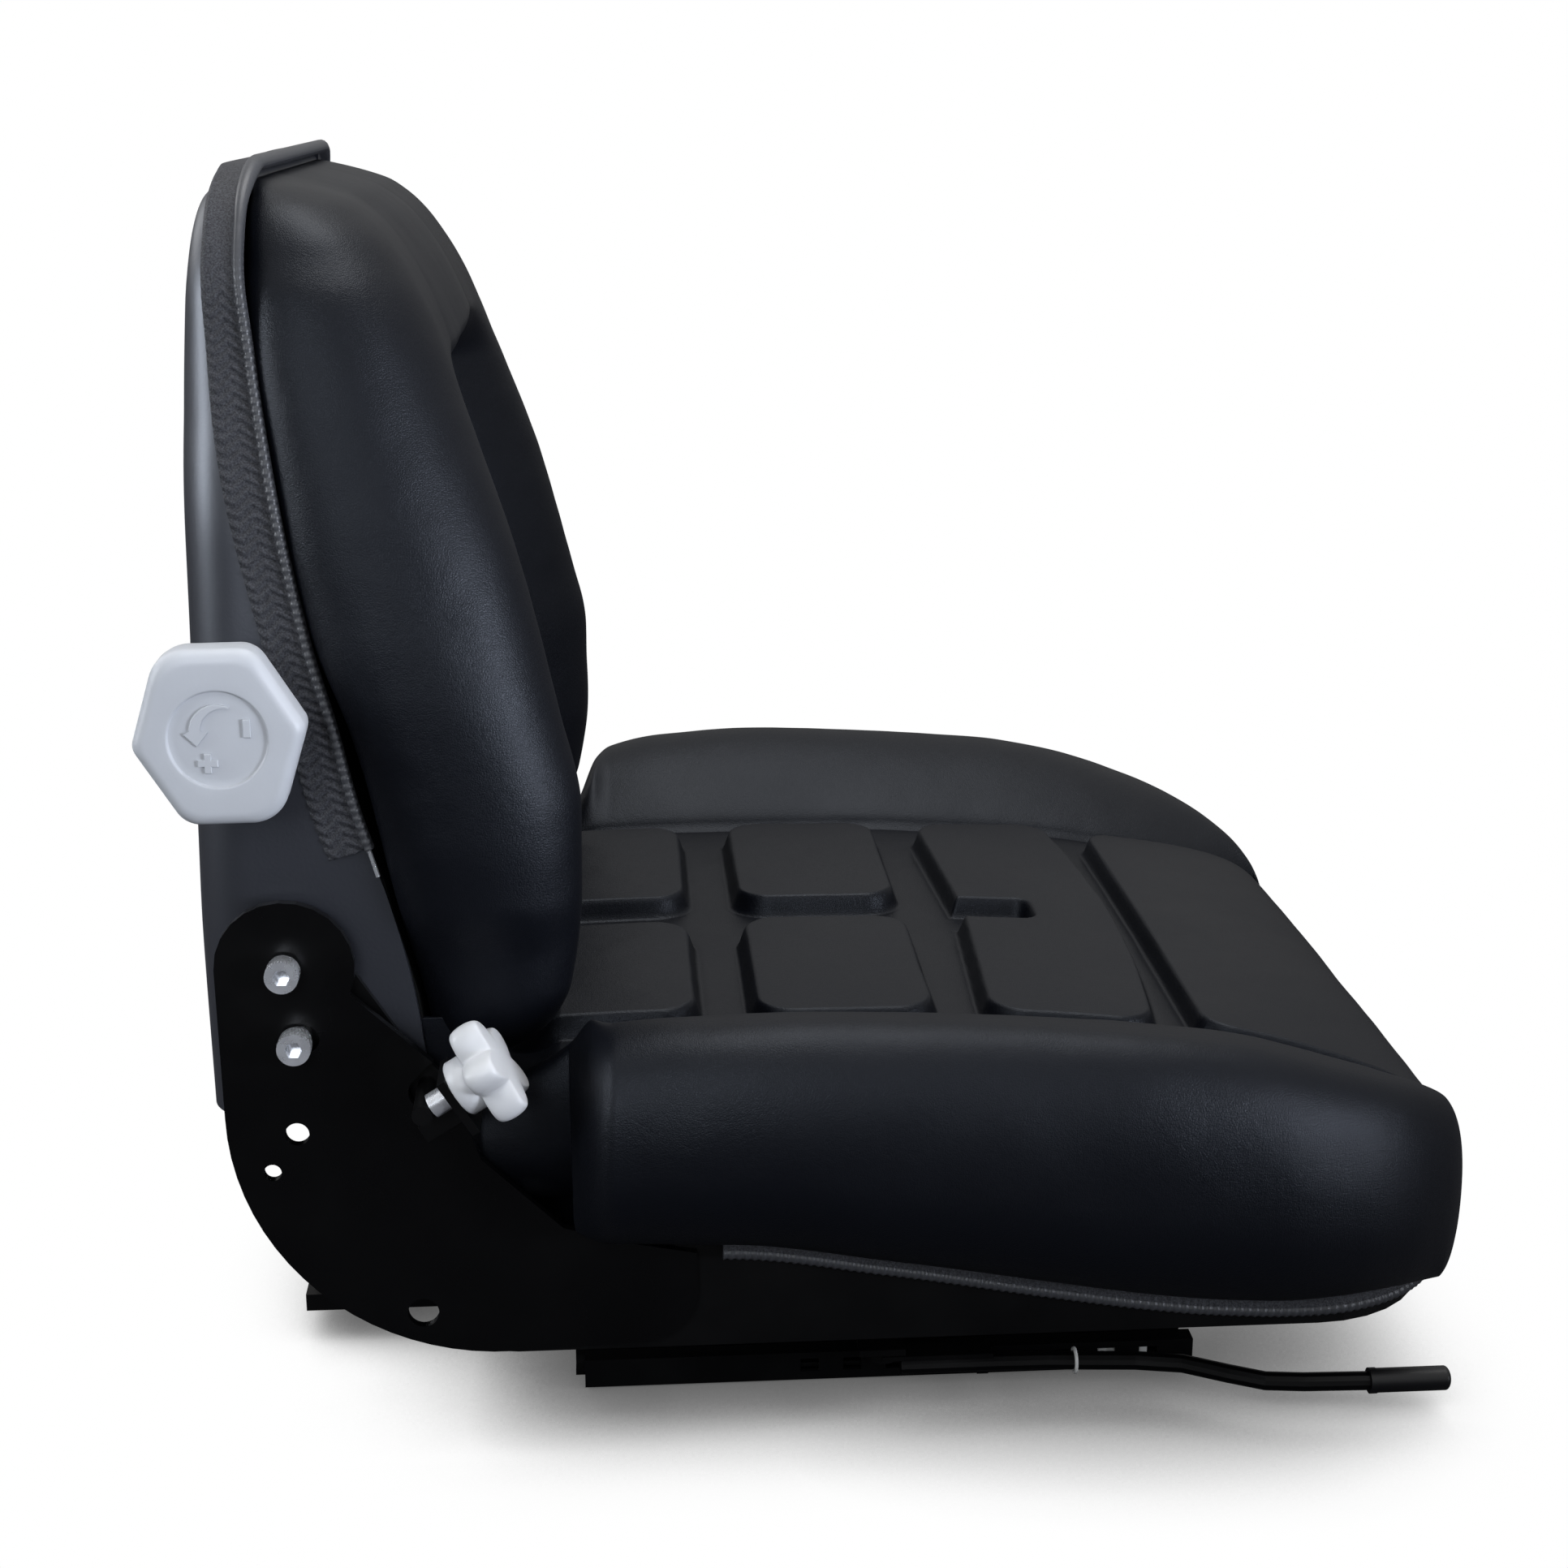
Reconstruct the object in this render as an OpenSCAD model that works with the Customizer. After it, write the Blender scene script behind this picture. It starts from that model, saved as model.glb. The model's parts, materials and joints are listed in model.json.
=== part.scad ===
// Compact tractor seat with its suspension in the backrest. Millimetres.
// X points to the front of the seat, +Y to the sitter's left, Z up.
// The origin is the centre of the four rail fixings, on the face the rails stand on.

/* [Seat pan and cushion] */
// Rear edge of the seat pan
pan_rear = -184; // [-188:1:-175]
// Front edge of the seat pan
pan_front = 232; // [220:1:245]
// Lower edge of the pan's skirt above the rails' base
skirt_z = 46; // [46:1:52]
// Top of the pan's floor above the skirt's lower edge
floor_rise = 14; // [10:1:18]
// Sheet thickness of the pan
pan_wall = 2.5; // [1.5:0.5:4]
// Half width of the seat cushion at its widest bulge
bolster_half = 247; // [235:1:255]
// Height of the seat's bolsters over the pads
bolster_rise = 27; // [15:1:35]
// Height of the seat pads above the rails' base, at the middle of the seat
pad_z = 173; // [165:1:180]
// Height of a raised pad over the channels between pads
pad_rise = 6; // [3:0.5:8]

/* [Backrest] */
// Top of the back shell above the rails' base
back_top = 514; // [490:1:530]
// Rearmost face of the back shell
shell_rear = -278; // [-281:1:-275]
// Half width of the back shell at its foot
shell_half = 181; // [176:1:183]
// Half width of the back shell near its top
shell_half_top = 160; // [145:1:170]
// Wall of the back shell
shell_wall = 3; // [2:0.5:5]
// Depth of the middle recess of the back cushion
recess = 26; // [10:1:32]

/* [Side plates and pivots] */
// Clearance between the back shell and the inner face of a side plate
shell_gap = 6; // [3:0.5:10]
// Thickness of a side plate
plate_t = 4; // [3:0.5:6]
// Recline pivot, distance behind the origin
pivot_x = -245; // [-248:1:-242]
// Recline pivot, height
pivot_z = 217; // [214:1:220]
// Distance from the recline pivot down to the guide screw
guide_r = 30; // [27:1:34]
// Widest recline in degrees, for which the guide slot is cut
recline = 6; // [4:0.5:6]
// Diameter of the socket screws' thread
screw_d = 8; // [6:1:10]

/* [Suspension] */
// Spacing of the two guide posts
post_gap = 140; // [120:2:150]
// Diameter of a guide post
post_d = 18; // [14:1:20]
// Travel of the suspension, downwards from rest
travel = 26; // [15:1:26]
// Wire of a suspension spring
wire_d = 4; // [3:0.5:5]
// Free turns of a suspension spring
spring_turns = 6; // [4:1:8]
// Travel of the preload bar
preload = 8; // [4:1:8]

/* [Rails and lever] */
// Half length of the lower rails
rail_half = 134; // [128:1:150]
// Travel of the seat to the front and to the rear from rest
rail_travel = 75; // [60:1:80]
// Distance of a rail from the middle of the seat
rail_y = 120; // [110:1:125]
// Width of a lower rail
rail_w = 36; // [32:1:40]
// Sheet thickness of the rails
rail_t = 2; // [1.5:0.5:2.5]
// Diameter of the fixing holes in the lower rails
fix_d = 8.4; // [6:0.2:9]
// Half the fore and aft distance between the fixing holes
fix_half = 100; // [60:1:115]
// Diameter of the lever rod
rod_d = 8; // [6:0.5:9]

/* [Knobs] */
// Half height of the hexagonal weight knob
hex_r = 33; // [28:0.5:36]
// Thickness of the hexagonal knob
hex_t = 25; // [18:1:28]
// Outer radius of the star knob at its lobes
star_r = 20.5; // [15:0.5:21]
// Thickness of the star knob's head
star_t = 13; // [11:1:14]

/* [Hidden] */
// Half width between the inner faces of the two side plates
plate_in = shell_half + shell_gap;
plate_out = plate_in + plate_t;
$fn = 48;
gap = 0.3; // clearance between parts that move past each other
fit = 0.05; // radial play of a running fit
eps = 0.01;
black = [0.06, 0.06, 0.07];
steel = [0.12, 0.12, 0.13];
zinc = [0.75, 0.76, 0.78];

function arc(c, r, a0, a1, n = 12) =
  [for (i = [0:n]) let (a = a0 + (a1 - a0) * i / n) c + r * [cos(a), sin(a)]];
function smooth(t) = t * t * (3 - 2 * t);

// Extrudes an outline in X and Z between two values of Y
module along_y(y0, y1) {
  translate([0, y1, 0]) rotate([90, 0, 0]) linear_extrude(y1 - y0) children();
}
module on_side(side) {
  mirror([0, side > 0 ? 1 : 0, 0]) children();
}
// A rod along Y
module pin_y(x, z, d, y0, y1) {
  translate([x, y0, z]) rotate([-90, 0, 0]) cylinder(d = d, h = y1 - y0);
}
// Joins equal rings of points to one closed skin
module loft(rings) {
  n = len(rings[0]);
  m = len(rings);
  polyhedron(
    points = [for (r = rings) for (p = r) p],
    faces = concat(
      [[for (i = [0:n - 1]) i]],
      [for (j = [0:m - 2]) for (i = [0:n - 1]) let (k = (i + 1) % n)
        each [[j * n + i, (j + 1) * n + i, (j + 1) * n + k],
              [j * n + i, (j + 1) * n + k, j * n + k]]],
      [[for (i = [n - 1:-1:0]) (m - 1) * n + i]]
    )
  );
}

// RAILS
rail_h = 13; // height of a lower rail
lip = 9; // half width of the mouth between a lower rail's lips
hat_half = 7; // half width of an upper rail's web
hat_z = 20; // top of an upper rail
foot_z = 4; // underside of an upper rail's feet
rail_gap_end = 4; // an upper rail starts this far behind its lower rail

module lower_rail(side) {
  color(steel) on_side(side) translate([0, -rail_y, 0]) difference() {
    rotate([90, 0, 90]) translate([0, 0, -rail_half]) linear_extrude(2 * rail_half) difference() {
      translate([-rail_w / 2, 0]) square([rail_w, rail_h]);
      translate([-rail_w / 2 + rail_t, rail_t]) square([rail_w - 2 * rail_t, rail_h - 2 * rail_t]);
      translate([-lip, rail_t]) square([2 * lip, rail_h]);
    }
    for (x = [-fix_half, fix_half]) translate([x, 0, -1]) cylinder(d = fix_d, h = rail_t + 2);
    // Notches that the latch tooth drops into
    for (i = [-4:4]) translate([notch_x + i * notch_pitch - notch_w / 2, -rail_w / 2 - 1, notch_z])
      cube([notch_w, rail_t + 2, notch_h]);
  }
}
notch_x = 39;
notch_pitch = rail_travel / 4;
notch_w = 8;
notch_z = 4;
notch_h = 6;

module upper_rail(side) {
  color(steel) on_side(side) translate([-rail_gap_end, -rail_y, 0])
    rotate([90, 0, 90]) translate([0, 0, -rail_half]) linear_extrude(2 * rail_half) {
      for (s = [-1, 1]) scale([s, 1]) {
        translate([hat_half - rail_t, foot_z]) square([rail_t, hat_z - foot_z]);
        translate([hat_half - rail_t, foot_z]) square([rail_w / 2 - rail_t - 2 - hat_half +
            rail_t, rail_t]);
      }
      translate([-hat_half, hat_z - rail_t]) square([2 * hat_half, rail_t]);
    }
}

// Plastic shoes that fill the space between an upper rail's feet and the lips
shoe_l = 22;
module slide_shoes() {
  shoe_z = foot_z + rail_t;
  shoe_out = rail_w / 2 - rail_t - gap;
  color("gainsboro") for (side = [-1, 1]) for (s = [-1, 1]) for (x = [-rail_half + 12, rail_half - 42])
    translate([x, side * rail_y + (s > 0 ? hat_half + eps : -shoe_out), shoe_z])
      cube([shoe_l, shoe_out - hat_half - eps, rail_h - rail_t - gap - shoe_z]);
  // Runners under the feet
  color("gainsboro") for (side = [-1, 1]) for (s = [-1, 1]) for (x = [-rail_half + 12, rail_half - 42])
    translate([x, side * rail_y + (s > 0 ? hat_half - rail_t : -13), rail_t + gap])
      cube([shoe_l, 13 - hat_half + rail_t, foot_z - rail_t - gap]);
}

// BASE FRAME AND MAST
base_t = 3;
base_z = hat_z; // underside of the frame's sheet
mast_x = -243; // the guide posts' distance behind the origin
spine_half = 88; // half width of the rear arm that carries the mast
spine_rear = mast_x - 16;
lip_z = 15; // lower edge of the frame's turned-down edges
bar_x = [-112, -64, 66, 106]; // front and rear edges of the two cross bars

module base_frame() {
  color(steel) difference() {
    union() {
      for (i = [0, 2]) translate([bar_x[i], -rail_y - 12, base_z])
        cube([bar_x[i + 1] - bar_x[i], 2 * rail_y + 24, base_t]);
      translate([spine_rear, -spine_half, base_z]) cube([bar_x[1] - spine_rear, 2 * spine_half, base_t]);
      translate([bar_x[1] - 1, -28, base_z]) cube([bar_x[2] - bar_x[1] + 2, 56, base_t]);
      for (s = [-1, 1]) {
        translate([spine_rear, s > 0 ? spine_half - base_t : -spine_half, lip_z])
          cube([bar_x[0] - spine_rear + 8, base_t, base_z - lip_z + eps]);
        translate([bar_x[1], s > 0 ? 28 - base_t : -28, lip_z])
          cube([bar_x[2] - bar_x[1], base_t, base_z - lip_z + eps]);
      }
      translate([spine_rear, -spine_half, lip_z]) cube([base_t, 2 * spine_half, base_z - lip_z + eps]);
      // Sockets that the posts stand in
      for (s = [-1, 1]) translate([mast_x, s * post_gap / 2, base_z]) cylinder(d = post_d + 10, h = 14);
    }
    for (s = [-1, 1]) translate([mast_x, s * post_gap / 2, base_z + base_t]) cylinder(d = post_d, h = 20);
    // Lightening holes
    for (x = [-190, -140]) for (s = [-1, 1]) translate([x, s * 45, 0]) cylinder(d = 30, h = 60);
    for (x = [-30, 0, 30]) translate([x, 0, 0]) cylinder(d = 20, h = 60);
  }
}

module guide_posts() {
  color(zinc) for (s = [-1, 1]) translate([mast_x, s * post_gap / 2, base_z + base_t])
    difference() {
      cylinder(d = post_d, h = post_top - base_z - base_t);
      translate([0, 0, 6]) cylinder(d = post_d - 5, h = post_top);
    }
}
tie_z = 44;
tie_t = 12;
module post_tie() {
  color(steel) difference() {
    union() {
      translate([mast_x - 6, -post_gap / 2, tie_z]) cube([12, post_gap, tie_t]);
      for (s = [-1, 1]) translate([mast_x, s * post_gap / 2, tie_z]) cylinder(d = post_d + 8, h = tie_t);
    }
    for (s = [-1, 1]) translate([mast_x, s * post_gap / 2, tie_z - 1]) cylinder(d = post_d, h = tie_t + 2);
  }
}

// Stops on the posts: a collar carries each spring, and a rubber ring meets the rising beam
beam_z = 100; // underside of the lower beam
beam_h = 26;
ring_h = 7;
collar_z = beam_z + beam_h + gap + ring_h;
collar_h = 6;
spring_z0 = collar_z + collar_h;
spring_len = 68;
spring_d = post_d + 2 * wire_d + 1; // outside diameter of a spring
module spring_collars() {
  color(zinc) for (s = [-1, 1]) translate([mast_x, s * post_gap / 2, collar_z]) difference() {
    cylinder(d = spring_d + 2, h = collar_h);
    translate([0, 0, -1]) cylinder(d = post_d, h = collar_h + 2);
  }
}
module rebound_rings() {
  color([0.1, 0.1, 0.1]) for (s = [-1, 1]) translate([mast_x, s * post_gap / 2, collar_z - ring_h])
    difference() {
      cylinder(d = spring_d, h = ring_h);
      translate([0, 0, -1]) cylinder(d = post_d, h = ring_h + 2);
    }
}

// A coil whose end turns lie flat
module coil(side) {
  steps = 14;
  r = spring_d / 2 - wire_d / 2;
  turns = spring_turns;
  n = turns * steps;
  lift = spring_len - wire_d;
  sides = 6;
  rings = [for (i = [0:n]) let (
      a = 360 * i / steps,
      t = i / n,
      z = wire_d / 2 + lift * (t - sin(360 * t) / (2 * PI) * 0.6)
    ) [for (k = [0:sides - 1]) let (b = -360 * k / sides, q = r + wire_d / 2 * cos(b))
        [q * cos(a), q * sin(a), z + wire_d / 2 * sin(b)]]];
  color([0.55, 0.56, 0.58]) translate([mast_x, side * post_gap / 2, spring_z0]) loft(rings);
}

// CARRIAGE
beam_front = mast_x + 14;
beam_rear = mast_x - 14;
upper_z = 244;
upper_h = 20;
post_top = upper_z + upper_h + 4;
upper_half = post_gap / 2 + 20;
bush_d = post_d + 5;
module lower_beam() {
  color(steel) difference() {
    along_y(-plate_in, plate_in) difference() {
      translate([beam_rear + 13, beam_z]) square([beam_front - beam_rear - 2, beam_h]);
      translate([beam_rear + 15.5, beam_z + 2.5]) square([beam_front - beam_rear - 7, beam_h - 5]);
    }
    for (s = [-1, 1]) translate([mast_x, s * post_gap / 2, beam_z - 1]) cylinder(d = bush_d,
        h = beam_h + 2);
  }
  color(steel) for (s = [-1, 1]) translate([mast_x, s * post_gap / 2, beam_z]) difference() {
    cylinder(d = bush_d + 6, h = beam_h);
    translate([0, 0, -1]) cylinder(d = bush_d, h = beam_h + 2);
  }
}
module upper_beam() {
  color(steel) difference() {
    translate([beam_rear, -upper_half, upper_z]) cube([beam_front - beam_rear, 2 * upper_half, upper_h]);
    for (s = [-1, 1]) translate([mast_x, s * post_gap / 2, upper_z - 1]) cylinder(d = bush_d,
        h = upper_h + 2);
    translate([screw_x, 0, upper_z - 1]) cylinder(r = lead_r + 1, h = upper_h + 2);
    // Pockets that lighten the casting
    for (s = [-1, 1]) translate([mast_x, s * post_gap / 4, upper_z + 6]) cylinder(d = 20, h = upper_h);
  }
}
arm_w = 16;
arm_y = 42;
arm_t = 4;
module beam_uprights() {
  color(steel) for (s = [-1, 1]) translate([beam_front + eps, s * arm_y - arm_w / 2, beam_z + beam_h])
    cube([arm_t, arm_w, upper_z + upper_h - beam_z - beam_h]);
}
module guide_bushes() {
  color("white") for (s = [-1, 1]) for (q = [[beam_z, beam_h], [upper_z, upper_h]])
    translate([mast_x, s * post_gap / 2, q[0]]) difference() {
      cylinder(d = bush_d, h = q[1]);
      translate([0, 0, -1]) cylinder(d = post_d + 2 * fit, h = q[1] + 2);
    }
}

// WEIGHT ADJUSTER
knob_x = -259.5;
knob_z = 317.5;
screw_x = knob_x;
lead_r = 4;
box_h = 22;
box_z = knob_z - box_h / 2;
module gearbox() {
  color(steel) difference() {
    union() {
      translate([screw_x - 10, -12, box_z]) cube([22, 24, box_h]);
      translate([screw_x + lead_r + gap, -12, upper_z + upper_h]) cube([6, 24, box_z - upper_z - upper_h]);
    }
    translate([screw_x, 0, box_z - 50]) cylinder(r = lead_r + fit, h = 58);
    pin_y(knob_x, knob_z, 2 * shaft_r + 2 * fit, -20, -2);
  }
}
shaft_r = 5;
bar_z = 216.5; // underside of the preload bar's plate
bar_t = 4;
cup_h = 16;
module preload_bar() {
  color(steel) difference() {
    union() {
      translate([screw_x - 8, -post_gap / 2, bar_z]) cube([mast_x - screw_x + 16, post_gap, bar_t]);
      for (s = [-1, 1]) translate([mast_x, s * post_gap / 2, bar_z - cup_h + bar_t])
        cylinder(d = spring_d + 5, h = cup_h);
      translate([screw_x, 0, bar_z - 8]) cylinder(r = lead_r + 4, h = bar_t + 12);
    }
    for (s = [-1, 1]) translate([mast_x, s * post_gap / 2, 0]) {
      translate([0, 0, bar_z - cup_h]) cylinder(d = spring_d + 1.4, h = cup_h);
      translate([0, 0, bar_z - 1]) cylinder(d = post_d + 1, h = bar_t + 2);
    }
    translate([screw_x, 0, bar_z - 20]) cylinder(r = lead_r + fit, h = 60);
  }
}
module preload_screw() {
  color(zinc) translate([screw_x, 0, bar_z - 22]) {
    cylinder(r = lead_r, h = box_z + 5.5 - bar_z + 22);
    cylinder(r = lead_r + 2, h = 3);
  }
}
hex_out = -plate_out - 31; // outer face of the hexagonal knob
// Corners of the knob on a half height of 1, and the radius of each
hex_pts = [[-0.624, 0.994], [0.424, 1.009], [0.97, 0.109], [0.624, -0.994], [-0.424, -1.009],
    [-0.97, -0.109]];
hex_radii = [13, 9, 5, 13, 9, 5];
function unit(v) = v / norm(v);
// Outline with its corners rounded, each by its own radius
function rounded(pts, radii, steps = 6) = let (n = len(pts)) [
  for (i = [0:n - 1]) let (
      p = pts[i], u = unit(pts[(i + n - 1) % n] - p), v = unit(pts[(i + 1) % n] - p),
      half = acos(u * v) / 2, c = p + unit(u + v) * radii[i] / sin(half),
      s = p + u * radii[i] / tan(half) - c, a0 = atan2(s[1], s[0]),
      turn = (180 - 2 * half) * (cross(-u, v) > 0 ? 1 : -1)
    ) for (k = [0:steps]) c + radii[i] * [cos(a0 + turn * k / steps), sin(a0 + turn * k / steps)]
];
module weight_knob() {
  outline = rounded(hex_pts * hex_r, hex_radii);
  // Depth and how far the edge is drawn in there
  edges = [[0, 4.6], [0.8, 2.8], [2.2, 1.1], [4.6, 0], [hex_t - 1.5, 0], [hex_t, 1.5]];
  color([0.82, 0.83, 0.84]) translate([knob_x, hex_out, knob_z]) difference() {
    union() {
      loft([for (e = edges) [for (p = outline) let (q = p * (1 - e[1] / hex_r)) [q[0], e[0], q[1]]]]);
      pin_y(0, 0, 30, hex_t - eps, hex_t + 9);
    }
    pin_y(0, 0, 36.3, -1, 1.2);
    pin_y(0, 0, 2 * shaft_r, 8, hex_t + 28);
  }
}
module knob_shaft() {
  color(zinc) pin_y(knob_x, knob_z, 2 * shaft_r, hex_out + 8, -3);
}

// SIDE PLATES
sweep_c = [-165, 155]; // centre of the plate's big lower curve
sweep_r = 106.5;
ear_r = 27;
lobe_c = [-110, 74]; // centre of the plate's front corner
lobe_r = 24;
pin_at = [-192.6, 163.7]; // the stop pin's place at rest
hole_a = [-243.8, 147.5];
hole_b = [-254.3, 131.2];
hole_c = [-197.5, 67.4];
ear_c = [pivot_x, pivot_z];
function turned(p, a) = ear_c + [p[0] * cos(a) - p[1] * sin(a), p[0] * sin(a) + p[1] * cos(a)];
guide_at = [3, -sqrt(guide_r * guide_r - 9)];
module plate_outline() {
  difference() {
    polygon(concat(
      arc(sweep_c, sweep_r, 180, 272, 20),
      arc(lobe_c, lobe_r, -75, 10, 6),
      [[-86.5, 90], [-112, 95], [-140, 103], [-172, 134]],
      arc([-207, 160], 24, 20, 50, 3),
      arc(ear_c, ear_r, -25, 180, 14)
    ));
    // Room for the stop pin
    translate(pin_at) circle(r = 7);
    translate(turned(pin_at - ear_c, recline)) circle(r = 7);
    translate(turned(pin_at - ear_c, recline / 2)) circle(r = 7);
  }
}
module side_plate(side) {
  color(black) on_side(side) difference() {
    along_y(-plate_out, -plate_in) plate_outline();
    pin_y(pivot_x, pivot_z, sleeve_d + 2 * fit, -plate_out - 1, -plate_in + 1);
    // Arc slot for the guide screw
    for (i = [0:4]) let (p = turned(guide_at, recline * i / 4))
      pin_y(p[0], p[1], sleeve_d + 2 * gap, -plate_out - 1, -plate_in + 1);
    pin_y(hole_a[0], hole_a[1], 9.5, -plate_out - 1, -plate_in + 1);
    pin_y(hole_b[0], hole_b[1], 7, -plate_out - 1, -plate_in + 1);
    pin_y(hole_c[0], hole_c[1], 12.5, -plate_out - 1, -plate_in + 1);
  }
}

// SEAT PAN
pan_half = plate_in - eps;
front_r = 58;
rear_r = 24;
module pan_plan(inset) {
  r1 = front_r - inset;
  r2 = rear_r - inset;
  h = pan_half - inset;
  polygon(concat(
    arc([pan_front - front_r, h - r1], r1, 0, 90, 8),
    arc([pan_rear + rear_r, h - r2], r2, 90, 180, 5),
    arc([pan_rear + rear_r, -h + r2], r2, 180, 270, 5),
    arc([pan_front - front_r, -h + r1], r1, 270, 360, 8)
  ));
}
// Height of the pan's rim, where the cover is clipped on
rim_pts = [[-300, 100], [-76, 100], [-7, 91], [59, 79], [100, 71], [127, 67], [161, 65], [196,
    66], [300, 68]];
function rim_z(x) = lookup(x, rim_pts);
module seat_pan() {
  floor_z = skirt_z + floor_rise;
  color(black) difference() {
    union() {
      intersection() {
        translate([0, 0, skirt_z]) linear_extrude(70) difference() {
          pan_plan(0);
          pan_plan(pan_wall);
        }
        along_y(-200, 200) polygon(concat(
          [[300, skirt_z], [-300, skirt_z]], [for (p = rim_pts) [p[0], p[1] - 8]]
        ));
      }
      translate([0, 0, floor_z - pan_wall]) linear_extrude(pan_wall) pan_plan(pan_wall / 2);
      // Pressed ribs under the floor
      for (y = [-60, 60]) translate([-110, y - 6, floor_z - pan_wall - 3]) cube([290, 12, 3 + eps]);
    }
    for (x = [-60, 40, 140]) translate([x, 0, floor_z - 20]) cylinder(d = 26, h = 40);
    // Room for the base frame's arm when the seat is down
    translate([pan_rear - 10, -spine_half - 4, skirt_z - 1]) cube([20, 2 * spine_half + 8,
        floor_rise - pan_wall]);
    for (s = [-1, 1]) for (x = pan_screw_x) pin_y(x, pan_screw_z, 6.6, s * 190 - 10, s * 190 + 10);
  }
}
pan_screw_x = [-150, -112];
pan_screw_z = 78;
module pan_screws() {
  color(steel) for (s = [-1, 1]) mirror([0, s > 0 ? 1 : 0, 0]) for (x = pan_screw_x) {
    pin_y(x, pan_screw_z, 6.6, -plate_in, -plate_in + 9);
    translate([x, -plate_in + pan_wall + eps, pan_screw_z]) rotate([-90, 0, 0]) cylinder(d = 13,
        h = 5, $fn = 6);
  }
}
module bump_stops() {
  stop_z = base_z + base_t + travel + gap;
  color([0.1, 0.1, 0.1]) for (x = [-88, 86]) for (s = [-1, 1])
    translate([x, s * 90, stop_z]) cylinder(r1 = 9, r2 = 12, h = skirt_z + floor_rise - pan_wall - stop_z);
}

// SEAT CUSHION
cushion_rear = -178;
bolster_rear = -125; // the bolsters start in front of the backrest
pad_in = 15;
pad_out = 134;
gutter_out = 152;
edge = 4; // run of a pad's side wall
row_x = [[-150, -83], [-59, 18], [45, 110], [137, 222]]; // rear and front of each row of pads
// Outlines along X as [x, value]
top_pts = [[-180, -14], [-154, -8], [-140, 0], [-60, 1], [20, 0], [60, -2], [110, -5], [137,
    -11], [185, -19], [212, -27],
  [224, -34], [232, -46], [238, -66]];
ridge_pts = [[-125, -9], [-118, -6], [-108, -3.5], [-90, -1], [-53, 2], [0, 0], [79, -6.5], [101,
    -10], [168, -27], [203, -48],
  [221, -62], [232, -74], [238, -92]];
half_pts = [[-125, -14], [-112, -5], [-60, 0], [80, 0], [140, -6], [175, -16], [200, -31], [218, -52],
  [230, -77], [238, -100]];
function top_z(x) = pad_z + lookup(x, top_pts);
function ridge_z(x) = pad_z + bolster_rise + lookup(x, ridge_pts);
function half_w(x) = bolster_half + lookup(x, half_pts);
function in_row(x) = len([for (r = row_x) if (x >= r[0] - eps && x <= r[1] + eps) 1]) > 0;
// Half width of the pan's inside at a place along it
function pan_inner(x) = let (q = x - (pan_front - front_r), r = front_r - pan_wall)
  q <= 0 ? pan_half - pan_wall : pan_half - front_r + sqrt(max(r * r - q * q, 0));
function cushion_half(x) =
  let (
    rear = x < bolster_rear - eps,
    over_rim = x > pan_front - pan_wall - 7,
    low = over_rim ? rim_z(x) - 0.5 : skirt_z + floor_rise,
    w = rear ? plate_in - 4 : half_w(x),
    under = rim_z(x) + 3,
    foot = min(plate_in - 10, w - 22, over_rim ? w : pan_inner(x) - 1),
    lip_y = rear ? foot : min(plate_in + 4, w - 16),
    t = top_z(x),
    g = t - pad_rise - 3,
    ch = t - pad_rise,
    zr = rear ? t - 3 : ridge_z(x),
    mid = under + 0.45 * (zr - under),
    round_r = rear ? 6 : 30,
    p = in_row(x) ? t : ch,
    joined = x > row_x[2][0] + 32,
    wall_in = min(gutter_out, w - round_r - 8)
  )
  concat(
    [[0, low], [foot - 6, low + 0.1], [foot, over_rim ? low + 0.8 : low + 3], [foot, under - 2],
        [lip_y, under]],
    [for (b = [60, 30, 0]) [lip_y + (w - lip_y) * cos(b), mid - (mid - under) * sin(b)]],
    [for (a = [25, 50, 72, 90]) [w - round_r + round_r * cos(a), mid + (zr - mid) * sin(a)]],
    [for (s = [0.72, 0.48, 0.24]) [wall_in + (w - round_r - wall_in) * s, g + (zr - g) * smooth(s)]],
    [[wall_in, g], [wall_in - 12, g], [min(pad_out, wall_in - 16), p], [pad_in, p],
     [pad_in - edge + 1, joined && in_row(x) ? p : ch], [0, joined && in_row(x) ? p : ch]]
  );
tail_x = [cushion_rear, cushion_rear + 8, -154, -150, bolster_rear - gap];
cushion_x = [bolster_rear, bolster_rear + 4, bolster_rear + 12, -83, -79, -63, -59, -20, 18, 22, 41, 45, 78,
  110, 114, 133, 137, 160, 180, 196, 208, 218, 224, 226, 232, 236];
module cushion_piece(xs) {
  rings = [for (x = xs) let (h = cushion_half(x), n = len(h)) concat(
    [for (i = [0:n - 1]) [x, h[i][0], h[i][1]]],
    [for (i = [n - 2:-1:1]) [x, -h[i][0], h[i][1]]]
  )];
  color(black) loft(rings);
}
module seat_cushion() {
  cushion_piece(cushion_x);
}
// The cushion's end between the side plates, under the backrest
module cushion_tail() {
  cushion_piece(tail_x);
}

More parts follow.
